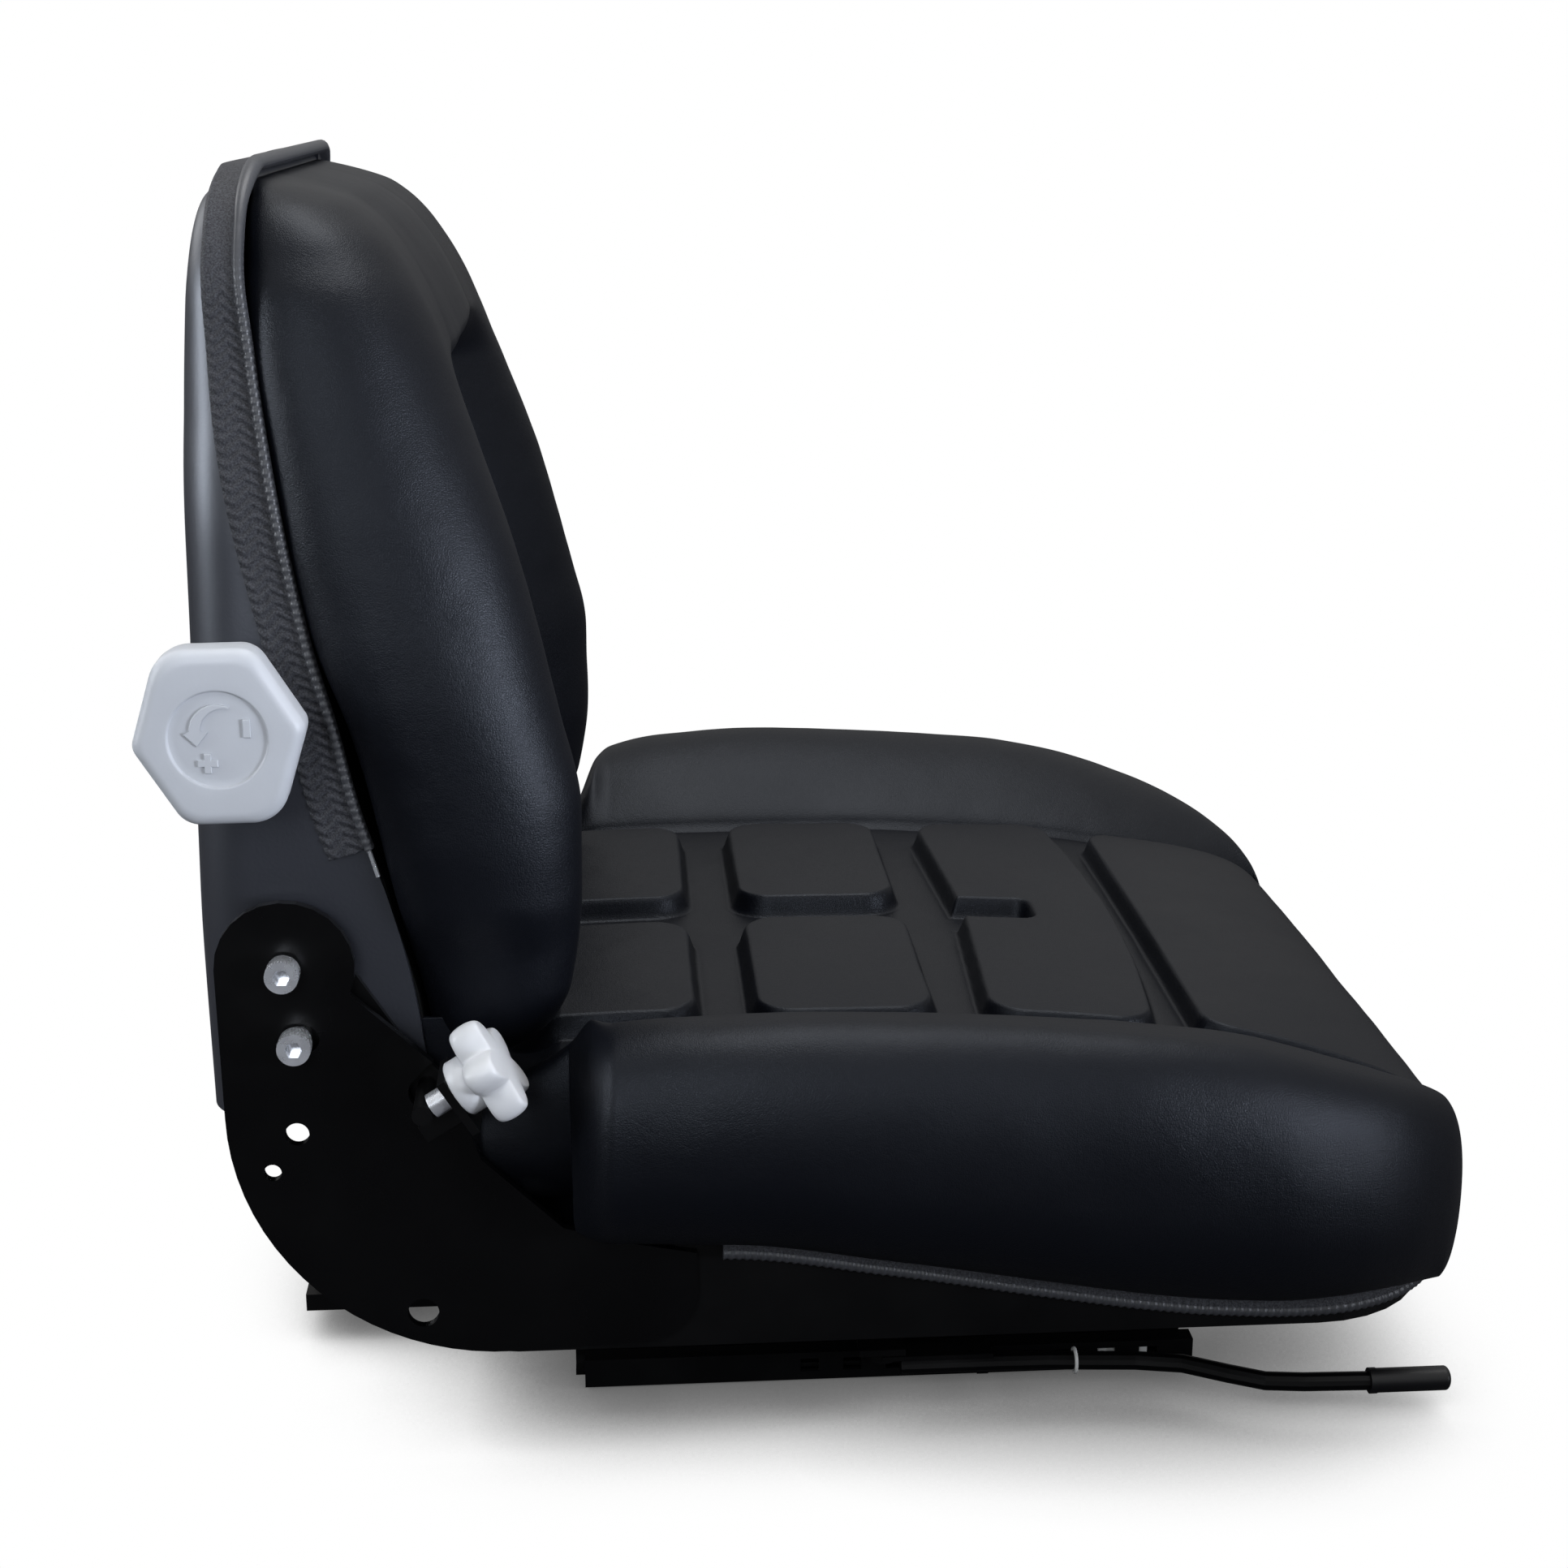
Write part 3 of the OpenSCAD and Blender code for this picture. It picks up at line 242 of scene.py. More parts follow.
def textile_material():
    m, nt, b = material("herringbone_textile", (0.03, 0.031, 0.035), 0.62, spec=0.3)
    n = noise(nt, 1500, 3)
    c = ramp(nt, n.outputs["Fac"], [(0.36, (0.016, 0.0165, 0.020)), (0.68, (0.058, 0.060, 0.069))])
    nt.links.new(c.outputs["Color"], b.inputs["Base Color"])
    bump(nt, b, n.outputs["Fac"], 0.3, 0.0005)
    return m


def shell_material():
    m, nt, b = material("shell_plastic", (0.012, 0.013, 0.018), 0.42, spec=1.0)
    b.inputs["Specular Tint"].default_value = (0.88, 0.92, 1.0, 1)
    n = noise(nt, 700, 3)
    b1 = bump(nt, b, n.outputs["Fac"], 0.12, 0.0005)
    n2 = noise(nt, 12, 3)
    bump(nt, b, n2.outputs["Fac"], 0.05, 0.004, b1)
    return m


M = {
    "vinyl": vinyl_material(),
    "shell": shell_material(),
    "textile": textile_material(),
    "bead": plastic_material("piping_bead", (0.052, 0.054, 0.060), 0.40, 0.3),
    "plate": paint_material("plate_paint", (0.0012, 0.0012, 0.0014), 0.28, spec=0.25),
    "frame": paint_material("frame_paint", (0.0014, 0.0014, 0.0016), 0.36, spec=0.3),
    "pan": paint_material("pan_paint", (0.0014, 0.0014, 0.0016), 0.42, spec=0.25),
    "zinc": metal_material("bright_zinc", (0.86, 0.88, 0.92), 0.26),
    "yellow": metal_material("yellow_zinc", (0.62, 0.55, 0.24), 0.30),
    "spring": metal_material("spring_wire", (0.30, 0.31, 0.33), 0.35),
    "rubber": paint_material("rubber_black", (0.012, 0.012, 0.012), 0.75, spec=0.25),
    "nylon": plastic_material("nylon", (0.72, 0.72, 0.69), 0.45),
    "hex": plastic_material("hex_plastic", (0.50, 0.52, 0.555), 0.42),
    "star": plastic_material("star_plastic", (0.66, 0.67, 0.69), 0.32),
    "grip": paint_material("grip_plastic", (0.004, 0.004, 0.005), 0.36),
    "board": paint_material("board_lining", (0.004, 0.004, 0.004), 0.8, spec=0.1),
}
SLOT_LOOK = {"black_steel": "frame", "plate_black": "plate", "bright_zinc": "zinc", "yellow_zinc": "yellow",
             "spring_steel": "spring", "black_rubber": "rubber", "nylon": "nylon", "grip": "grip", "hex_grey": "hex",
             "star_white": "star", "vinyl": "vinyl", "piping": "textile", "shell": "shell", "board": "board"}
for sp in frame["record"]["subparts"]:
    o = nodes[sp["node"]]
    look = M["pan"] if sp["node"] == "seat_pan" else M[SLOT_LOOK[sp["material_slot"]]]
    if not o.material_slots:
        o.data.materials.append(look)
    for s in o.material_slots:
        s.material = look


# ------------------------------------------------------ seat cushion skin
RIM = pchip([-300, -76, -7, 59.5, 100, 127.5, 161.6, 195.7, 300], [101, 100, 90, 77.5, 70.5, 67, 65, 66, 67.5])


def rounded(qx, qy, r):
    """Distance to a rounded corner from two side distances."""
    a, b = qx + r, qy + r
    return np.hypot(np.maximum(a, 0), np.maximum(b, 0)) + np.minimum(np.maximum(a, b), 0) - r


def pads(x, y):
    """Signed distance to the nearest raised pad, negative inside."""
    ay = np.abs(y)
    d = rounded(np.maximum(-160 - x, x + 82.5), np.maximum(16.5 - ay, ay - 131), 17)
    d = np.minimum(d, rounded(np.maximum(-59 - x, x - 18.5), np.maximum(14.5 - ay, ay - 134), 17))
    rear = 45.5 - 6 * (ay - 15.5) / 119
    front = 121 - 11 * (ay / 142) ** 2
    d3 = rounded(np.maximum(rear - x, x - front), ay - (134.5 + 7.5 * (x - 39) / 71), 17)
    slot = rounded(np.maximum(20 - x, x - 80), ay - 12.5, 6)
    d = np.minimum(d, np.maximum(d3, -slot))
    side = 138 + 14 * ease((x - 130) / 95)
    rear4 = 133 - 1.5 * ay / 140
    return np.minimum(d, rounded(rear4 - x, ay - side, 15))


def seat_cushion():
    # Stations: a parameter along the seat, with its x, top, half width and ridge
    t = [0, 0.9, 2.2, 6, 10, 22, 34, 46, 58, 68, 76, 83, 88.5, 92.5, 95.5, 98]
    xs = pchip(t, [-178, -177, -172, -150, -130, -70, -8, 50, 108, 155, 190, 214, 226.5, 233, 236.6, 238.2])
    tt = np.concatenate([np.linspace(0, 6, 26)[:-1], np.linspace(6, 10, 70)[:-1], np.linspace(10, 83, 360)[:-1],
                         np.linspace(83, 98, 84)])
    x = xs(tt)
    top = pchip([-178, -172, -150, -140, -60, 20, 45, 75, 110, 137, 165, 190, 205, 216, 224, 230, 234.5, 237.2, 238.2],
                [154, 160, 168, 173, 174, 173.5, 172, 170.4, 167.6, 163.6, 158, 151.5, 146.5, 141.5, 136.5, 131, 124, 114, 104])(x)
    ridge_z = pchip([-178, -136, -126, -112, -90, -40, 0, 80, 120, 168, 203, 220, 229, 234.5, 237.2, 238.2],
                    [150, 175, 191, 195.5, 198.5, 200.5, 199, 193, 187, 172.5, 157.5, 146, 136.5, 126, 113, 104])(x)
    wide = np.where(x < -118, np.sqrt(np.clip(1 - ((-118 - x) / 18.5) ** 2, 0, 1)), 1.0)
    w0 = pchip([-178, -118, -80, -20, 80, 140, 175, 200, 214, 224, 231, 235.5, 238.2],
               [238, 239, 245, 248, 248, 244, 235, 222, 210, 198.5, 186, 174, 158])(x)
    w = np.where(x < -136.4, 182.0, 182 + (w0 - 182) * wide)
    near_end = ease((x + 178) / 6.0)
    w = w - 5 * (1 - near_end)
    ridge_y = pchip([-178, -136, -118, -60, 80, 150, 190, 210, 222, 231, 236, 238.2],
                    [166, 172, 206, 216, 219, 214, 203, 190, 178, 165, 156, 150])(x)
    ridge_y = np.minimum(ridge_y, w - 9)
    under = RIM(x) + pchip([-178, 190, 222, 232, 236.5, 238.2], [2.5, 2.5, 3, 6, 16, 34])(x)
    foot = np.minimum(178.0, w - 26)
    lip_y = np.minimum(193.0, w - 9)
    lip_y = np.where(x < -136.4, foot + 1.5, lip_y)
    low = np.where(x < 231, 60.5, under - 1.5)
    nose = ease((x - 233.5) / 5.0)
    rows = []
    for k in range(len(tt)):
        xk, wk, ry, rz = x[k], w[k], ridge_y[k], ridge_z[k]
        un, ly, fo, lo, tp = under[k], lip_y[k], foot[k], low[k], top[k]
        gz = tp - 12.2 * (1 - nose[k])
        slim = xk < -136.4
        mid = un + (0.46 if not slim else 0.5) * (rz - un)
        gut = min(152 + 5 * float(ease((xk - 140) / 80)), ry - 6)
        pts = [(0, lo), (fo * 0.5, lo), (fo - 4, lo), (fo, lo + 2), (fo, max(un - 2.5, lo + 3))]
        a = np.linspace(0, math.pi / 2, 26)
        pts += [(ly + (wk - ly) * math.sin(v) ** 0.9, mid - (mid - un) * math.cos(v) ** 1.0) for v in a]
        pts += [(ry + (wk - ry) * math.cos(v) ** 0.92, mid + (rz - mid) * math.sin(v) ** 0.92)
                for v in np.linspace(0, math.pi / 2, 34)[1:]]
        s = np.linspace(0, 1, 27)[1:]
        prof = 0.62 * (1 - s ** 2.1) ** 0.62 + 0.38 * (0.5 + 0.5 * np.cos(math.pi * s))
        pts += [(ry - (ry - gut) * u, gz + (rz - gz) * q) for u, q in zip(s, prof)]
        for y in np.concatenate([np.linspace(gut, 0, 144)[1:]]):
            pts.append((y, gz))
        rows.append([(xk, y, z) for y, z in pts])
    half = np.array(rows)
    m = half.shape[1]
    # Pads rise above the channels on the top sheet
    first = 5 + 26 + 33 + 26
    px, py = half[:, first:, 0], half[:, first:, 1]
    d = pads(px, py)
    rise = ease((2.5 - d) / 4.8)
    crown = 1.6 * (1 - np.exp(np.minimum(d, 0) / 22))
    fade = 1 - nose[:, None]
    back_fade = ease((px + 176) / 10)
    half[:, first:, 2] += (rise * 9.8 + crown) * fade * back_fade - 0.3 * np.exp(-((d - 2.6) / 1.6) ** 2) * fade
    full = np.concatenate([half, (half * [1, -1, 1])[:, -2:0:-1]], 1)
    rows_n, cols = full.shape[:2]
    v = full.reshape(-1, 3)
    faces = grid_faces(rows_n, cols)
    # Both ends close to a middle line
    faces.append(tuple(range(cols))[::-1])
    faces.append(tuple((rows_n - 1) * cols + i for i in range(cols)))
    o = mesh("seat_cushion_skin", v, faces, M["vinyl"])
    c, n = coords(o), normals(o)
    p = c / MM
    soft = 0.35 * wave(p, 150, 3, 2) + 0.10 * wave(p, 45, 5, 2)
    top_zone = np.clip((p[:, 2] - 100) / 40, 0.15, 1)
    c += n * (soft * top_zone)[:, None] * MM
    put(o, c)
    return o


seat = seat_cushion()
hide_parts("seat_cushion", "cushion_tail")
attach(seat, "seat")


# ------------------------------------------------------ back cushion skin
def back_cushion():
    zc = [168.5, 170, 174, 184, 199, 240, 273, 311, 368, 435, 457, 472, 484, 492, 498.5, 502.5, 504.5, 508.5, 511]
    front = pchip(zc, [-166, -158, -150.5, -141.5, -134.8, -129.4, -129.4, -136.5, -150.6, -173.5, -181.5, -188.5, -196,
                       -202.5, -210, -216, -221, -235, -247])
    rear = pchip([168, 172, 201, 245, 310, 342, 404, 480, 496, 505], [-178, -187, -193.5, -203, -217, -228, -241, -250, -250.5, -250])
    w = pchip([168.5, 170, 174, 184, 199, 215, 240, 273, 311, 368, 420, 450, 470, 484, 492, 498.5, 502.5, 504.5, 508.5, 511],
              [160, 167, 174, 180, 183.5, 186, 194.5, 198, 197.5, 191, 180.5, 173, 166, 157, 151.5, 145.5, 140, 136, 126, 112])
    ridge = pchip([168.5, 184, 215, 273, 330, 400, 440, 470, 490, 504.5], [146, 158, 163, 166, 160, 146, 133, 122, 112, 100])
    zs = np.concatenate([168.5 + 5.5 * (1 - np.cos(np.linspace(0, math.pi / 2, 14)[:-1])), np.linspace(174, 484, 160)[:-1],
                         511 - 27 * (1 - np.sin(np.linspace(0, math.pi / 2, 40)))])
    rows = []
    for z in zs:
        xb, xf, wk, ry = (float(f(z)) for f in (rear, front, w, ridge))
        edge = float(np.clip((z - 168.5) / 8, 0, 1)) * float(np.clip((511 - z) / 9, 0, 1))
        dep = xf - xb
        dip = 27 * float(ease((446 - z) / 27)) * float(ease((z - 150) / 30)) + 2.2
        dip = min(dip, dep * 0.5)
        side_x = xb + dep * 0.36
        pts = [(xb, 0.0), (xb, wk * 0.45), (xb, wk * 0.86)]
        a = np.linspace(0, math.pi / 2, 20)
        y0 = wk * 0.90
        pts += [(side_x - (side_x - xb) * math.cos(v) ** 0.9, y0 + (wk - y0) * math.sin(v) ** 0.9) for v in a]
        pts += [(side_x + (xf - side_x) * math.sin(v) ** 0.95, ry + (wk - ry) * math.cos(v) ** 0.95)
                for v in np.linspace(0, math.pi / 2, 40)[1:]]
        gut = ry - 50
        s = np.linspace(0, 1, 30)[1:]
        prof = 0.55 * (1 - s ** 2.2) ** 0.7 + 0.45 * (0.5 + 0.5 * np.cos(math.pi * s))
        flat = xf - dip
        pts += [(flat + dip * q, ry - 50 * u) for u, q in zip(s, prof)]
        pts += [(flat + 1.6 * (1 - (y / gut) ** 2), y) for y in np.linspace(gut, 0, 40)[1:]]
        rows.append([(px, py, z) for px, py in pts])
    half = np.array(rows)
    full = np.concatenate([half, (half * [1, -1, 1])[:, -2:0:-1]], 1)
    rows_n, cols = full.shape[:2]
    faces = grid_faces(rows_n, cols)
    faces.append(tuple(range(cols))[::-1])
    faces.append(tuple((rows_n - 1) * cols + i for i in range(cols)))
    o = mesh("back_cushion_skin", full.reshape(-1, 3), faces, M["vinyl"])
    c, n = coords(o), normals(o)
    p = c / MM
    soft = 0.4 * wave(p, 160, 13, 2) + 0.12 * wave(p, 48, 15, 2)
    # Fine tension creases where the cover turns round the side
    q = p[:, 0] * 0.75 + p[:, 2] * 0.66
    crease = np.sin(q / 4.2 + 1.6 * wave(p, 60, 23, 2)) * np.exp(-((p[:, 2] - 335) / 55) ** 2) * np.exp(-((p[:, 0] + 195) / 16) ** 2)
    c += n * (soft + 0.16 * crease)[:, None] * MM
    put(o, c)
    return o


back = back_cushion()
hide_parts("back_cushion")
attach(back, "backrest")


# ------------------------------------------------------ shell and its rim
RIM_X = pchip([150, 201, 245, 262, 279, 311, 342, 403, 450, 482, 500, 520],
              [-190, -196, -206, -212, -217, -224, -232, -243, -249, -252, -251.5, -248])
REAR_X = pchip([150, 222, 269, 344, 400, 436, 468, 481, 494, 504, 508, 511, 513, 514],
               [-280, -280.5, -279.5, -277.9, -277.1, -275.5, -273.1, -271.6, -269.8, -267.1, -264, -260, -255, -251.5])
SHELL_W = pchip([150, 262, 380, 480, 520], [181, 181, 177, 160, 158])


def shell_half(z):
    q = z - (514 - 48)
    w = float(SHELL_W(z))
    return w if q <= 0 else w - 48 + math.sqrt(max(48 ** 2 - q * q, 0))


def shell_u(z, inset):
    """The shell's outline at a height, from one rim round the back to the other."""
    w, xf = shell_half(z) - inset, float(RIM_X(z))
    deep = xf - float(REAR_X(z))
    d = max(deep - inset, deep * 0.3)
    r = min(24 - inset, d * 0.8)
    if inset:
        z -= inset * (1 - float(ease((508 - z) / 26)))
    side = [(t * (d - r), w) for t in np.linspace(0, 1, 7)[:-1]]
    side += [(d - r + r * math.sin(a), w - r + r * math.cos(a)) for a in np.linspace(0, math.pi / 2, 15)]
    bulge = 2 * min(1, d / 12)
    side += [(d + bulge * (1 - (y / (w - r)) ** 2), y) for y in (w - r) * np.linspace(1, 0, 10)[1:]]
    return [(xf - a, -y, z) for a, y in side] + [(xf - a, y, z) for a, y in side[-2::-1]]


def back_shell():
    zs = np.concatenate([np.linspace(150, 480, 60)[:-1], 480 + 34 * np.sin(np.linspace(0, math.pi / 2, 34))])
    rings = [shell_u(z, 0) + shell_u(z, 3)[::-1] for z in zs]
    cols = len(rings[0])
    faces = grid_faces(len(zs), cols)
    for k in (0, len(zs) - 1):
        faces += [(k * cols + i, k * cols + i + 1, k * cols + cols - 2 - i, k * cols + cols - 1 - i) for i in range(cols // 2 - 1)]
    o = mesh("back_shell_skin", np.concatenate(rings), faces, M["shell"])
    o.data.set_sharp_from_angle(angle=math.radians(35))
    return o


shell = back_shell()
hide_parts("back_shell")
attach(shell, "backrest")


def sweep(name, path, normal, section, mat, close=False):
    """A closed section carried along a path. Section points are (sideways, outwards) of the path, and may vary along it."""
    path, normal = np.asarray(path, float), np.asarray(normal, float)
    t = np.gradient(path, axis=0)
    t /= np.linalg.norm(t, axis=1)[:, None]
    normal = normal - t * np.sum(normal * t, 1)[:, None]
    normal /= np.linalg.norm(normal, axis=1)[:, None]
    across = np.cross(t, normal)
    rows = []
    for i in range(len(path)):
        rows.append([path[i] + across[i] * a + normal[i] * b for a, b in section(i)])
    cols = len(rows[0])
    faces = grid_faces(len(rows), cols) + [tuple(range(cols))[::-1], tuple((len(rows) - 1) * cols + i for i in range(cols))]
    return mesh(name, np.concatenate(rows), faces, mat)


def bead_faces(o, cols, first, last):
    """Gives the faces between two columns of a swept band the bead's material."""
    o.data.materials.append(M["bead"])
    for f in o.data.polygons:
        k = [v % cols for v in f.vertices]
        if len(k) == 4 and first <= min(k) and max(k) <= last:
            f.material_index = 1


def back_band():
    """Herringbone textile along the shell's rim, with a beaded piping on its front edge."""
    zs = np.concatenate([np.linspace(262, 466, 60)[:-1], 466 + 48 * np.sin(np.linspace(0, math.pi / 2, 30))])
    up = [(float(RIM_X(z)), -shell_half(z), z) for z in zs]
    top = [(float(RIM_X(514)), y, 514) for y in np.linspace(-shell_half(514), shell_half(514), 12)[1:-1]]
    path, s = resample(up + top + [(x, -y, z) for x, y, z in up[::-1]], 0.75)
    t = np.gradient(path, axis=0)
    out = np.stack([np.zeros(len(t)), -t[:, 2], t[:, 1]], 1)
    out /= np.maximum(np.linalg.norm(out, axis=1), 1e-6)[:, None]
    k = np.ones(9) / 9
    for c in (1, 2):
        out[4:-4, c] = np.convolve(out[:, c], k, "valid")
    wide = 14.5 + 1.6 * np.sin(s / 61.0) + 1.0 * np.sin(s / 23.0 + 1)
    cols = 24
    # The weave fades out on the plain top of the band
    plain = 0.5 * np.clip((490 - path[:, 2]) / 26, 0.0, 1)
    fat = np.clip((path[:, 2] - 494) / 18, 0.0, 1)

    def section(i):
        w = wide[i]
        pts = [(2.4, 0.15), (3.3, 1.1)]
        bead = 0.28 * plain[i] / 0.5 * math.cos(2 * math.pi * s[i] / 3.3) + 1.5 * fat[i]
        for a in np.linspace(-0.3, math.pi * 1.02, 9):
            r = 1.75 + bead
            pts.append((1.1 + r * math.cos(a), 1.9 + 0.9 * fat[i] + r * math.sin(a)))
        for j in range(cols):
            u = j / (cols - 1)
            zig = abs((u * 2.6) % 2 - 1)
            h = 1.30 + 1.6 * fat[i] + plain[i] * math.sin(2 * math.pi * (s[i] / 4.6 + zig * 0.9)) - (1.1 + 1.6 * fat[i]) * max(0, (u - 0.86) / 0.14)
            pts.append((-0.9 - u * (w - 0.9), h))
        pts += [(-w, 0.08), (-w * 0.5, 0.08)]
        return pts

    o = sweep("back_band_textile", path, out, section, M["textile"])
    bead_faces(o, len(section(0)), 2, 10)
    return o


def wire(name, pts, r, mat, body):
    pts, _ = resample(pts, 0.8)
    up = np.tile([0.3, 1.0, 0.2], (len(pts), 1))
    o = sweep(name, pts, up, lambda i: [(r * math.cos(a), r * math.sin(a)) for a in np.linspace(0, 2 * math.pi, 11)[:-1]], mat)
    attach(o, body)
    return o


band = back_band()
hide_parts("back_trim")
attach(band, "backrest")


def seat_band():
    """Textile band on the pan's rim, with a beaded piping that holds the cover."""
    h, front, r = 189.8, 234.8, 62.8
    side = [(x, -h) for x in np.linspace(-76, front - r, 60)]
    corner = [(front - r + r * math.sin(a), -(h - r) - r * math.cos(a)) for a in np.linspace(0, math.pi / 2, 24)[1:]]
    half = side + corner
    plan, s = resample(half + [(front, y) for y in np.linspace(-(h - r), h - r, 30)[1:-1]] + [(x, -y) for x, y in half[::-1]], 0.75)
    t = np.gradient(plan, axis=0)
    out = np.stack([t[:, 1], -t[:, 0], np.zeros(len(t))], 1)
    path = np.column_stack([plan, RIM(plan[:, 0]) - 7])

    def section(i):
        pts = [(-1.5, -2.4), (9.5, -2.4), (10, -1.5), (9.4, 2.2)]
        for u in np.linspace(0, 1, 8):
            pts.append((8.6 - u * 7.4, 2.7 + 0.5 * u + 0.16 * math.sin(2 * math.pi * (s[i] / 3.4 + abs(u * 2 - 1)))))
        bead = 0.30 * math.cos(2 * math.pi * s[i] / 3.3)
        for a in np.linspace(-0.2, math.pi * 0.95, 9):
            rr = 2.5 + bead
            pts.append((-2.6 - rr * math.sin(a - 0.6), 3.0 + rr * math.cos(a - 0.6) * 0.9))
        pts += [(-5.0, -0.8)]
        return [(-a, b) for a, b in pts]

    o = sweep("seat_band_textile", path, out, section, M["textile"])
    bead_faces(o, len(section(0)), 12, 20)
    return o


band2 = seat_band()
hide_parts("seat_trim")
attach(band2, "seat")
for sgn in (-1, 1):
    w = wire("seat_rim_wire_" + ("right" if sgn < 0 else "left"), [(-84, sgn * 191.5, 99), (-80, sgn * 191.6, 98.6), (-74, sgn * 191.4, 96.5)], 0.75, M["zinc"], "seat")


# ---------------------------------------------------------- knobs and screws
def prism(name, outline, y0, y1, mat, body):
    """Flat shape in the XZ plane, with a fine bevel on its front edge."""
    o2 = np.asarray(outline, float)
    mid = o2.mean(0)
    inner = mid + (o2 - mid) * (1 - 0.35 / np.maximum(np.linalg.norm(o2 - mid, axis=1), 1))[:, None]
    rings = [(o2, y0), (o2, y1 + 0.22), (inner, y1)]
    n = len(o2)
    v = np.concatenate([np.column_stack([r[:, 0], np.full(n, y), r[:, 1]]) for r, y in rings])
    faces = grid_faces(3, n) + [tuple(range(n))[::-1], tuple(2 * n + i for i in range(n))]
    o = mesh(name, v, faces, mat, False)
    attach(o, body)
    return o


KX, KZ, FACE = -259.5, 317.5, -220.75
turn = np.linspace(0, 1, 24)
arc = np.radians(70 + 108 * turn)
outer = [(KX + 1.5 + r * math.cos(t), KZ + 2.5 + r * math.sin(t)) for t, r in zip(arc, 11.7 - 1.8 * (1 - turn) ** 2)]
inner = [(KX + 1.5 + r * math.cos(t), KZ + 2.5 + r * math.sin(t)) for t, r in zip(arc, 7.5 + 2.2 * (1 - turn))]
arrow = outer + [(KX - 12.2, KZ + 2.0), (KX - 7.6, KZ - 2.6), (KX - 3.3, KZ + 2.8)] + inner[::-1]
marks = [prism("knob_arrow", arrow, FACE, FACE - 0.95, M["hex"], "adjuster")]
cx, cz, b, h = KX - 4, KZ - 9, 1.25, 3.75
plus = [(-b, -h), (b, -h), (b, -b), (h, -b), (h, b), (b, b), (b, h), (-b, h), (-b, b), (-h, b), (-h, -b), (-b, -b)]
marks.append(prism("knob_plus", [(cx + p, cz + q) for p, q in plus], FACE, FACE - 0.95, M["hex"], "adjuster"))
cx, cz = KX + 10.7, KZ + 3.9
marks.append(prism("knob_minus", [(cx - 1.35, cz - 3.45), (cx + 1.35, cz - 3.45), (cx + 1.35, cz + 3.45), (cx - 1.35, cz + 3.45)],
                   FACE, FACE - 0.95, M["hex"], "adjuster"))


def rounded_hex(k, steps=14):
    """The weight knob's outline, its corners rounded, drawn in by k."""
    pts = np.array([(-0.624, 0.994), (0.424, 1.009), (0.97, 0.109), (0.624, -0.994), (-0.424, -1.009), (-0.97, -0.109)]) * (33 - k)
    out = []
    for i, radius in enumerate((14, 10, 6.5, 14, 10, 6.5)):
        p, u, v = pts[i], pts[i - 1] - pts[i], pts[(i + 1) % 6] - pts[i]
        u, v = u / np.linalg.norm(u), v / np.linalg.norm(v)
        half = math.acos(float(u @ v)) / 2
        c = p + (u + v) / np.linalg.norm(u + v) * radius / math.sin(half)
        first, last = p + u * radius / math.tan(half) - c, p + v * radius / math.tan(half) - c
        for t in np.linspace(0, 1, steps):
            q = first * (1 - t) + last * t
            out.append(c + q / np.linalg.norm(q) * radius)
    pts, _ = resample(out + [out[0]], 0.4)
    n = 180
    s_at = np.linspace(0, len(pts) - 1, n + 1)[:-1]
    return np.stack([np.interp(s_at, range(len(pts)), pts[:, j]) for j in (0, 1)], 1)


def weight_knob():
    """Hexagonal knob with soft edges and a round recess in its face."""
    base = rounded_hex(0)
    ang = np.arctan2(base[:, 1], base[:, 0])
    ring = lambda r: np.stack([r * np.cos(ang), r * np.sin(ang)], 1)
    rows = [(ring(r), 1.2) for r in (4, 10, 15, 17.6)] + [(ring(17.95), 1.05), (ring(18.15), 0.4), (ring(18.4), 0.08), (ring(18.9), 0.0)]
    for t in (0.35, 0.7):
        rows.append((ring(18.9) * (1 - t) + rounded_hex(5.6) * t, 0.0 + 0.1 * t))
    for t in np.linspace(0, math.pi / 2, 12):
        rows.append((rounded_hex(5.6 * (1 - math.sin(t))), 0.12 + 5.2 * (1 - math.cos(t))))
    rows += [(base, 12.0), (base * 0.99, 15.6), (base * 0.965, 17.0), (base * 0.6, 17.0), (ring(15), 17.0), (ring(15), 25.5), (ring(6), 25.5)]
    v = np.concatenate([np.column_stack([KX + q[:, 0], np.full(len(q), -222 + y), KZ + q[:, 1]]) for q, y in rows])
    n = len(base)
    return mesh("weight_knob_skin", v, grid_faces(len(rows), n) + [tuple(range(n)), tuple((len(rows) - 1) * n + i for i in range(n))], M["hex"])


knob = weight_knob()
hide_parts("weight_knob")
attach(knob, "adjuster")


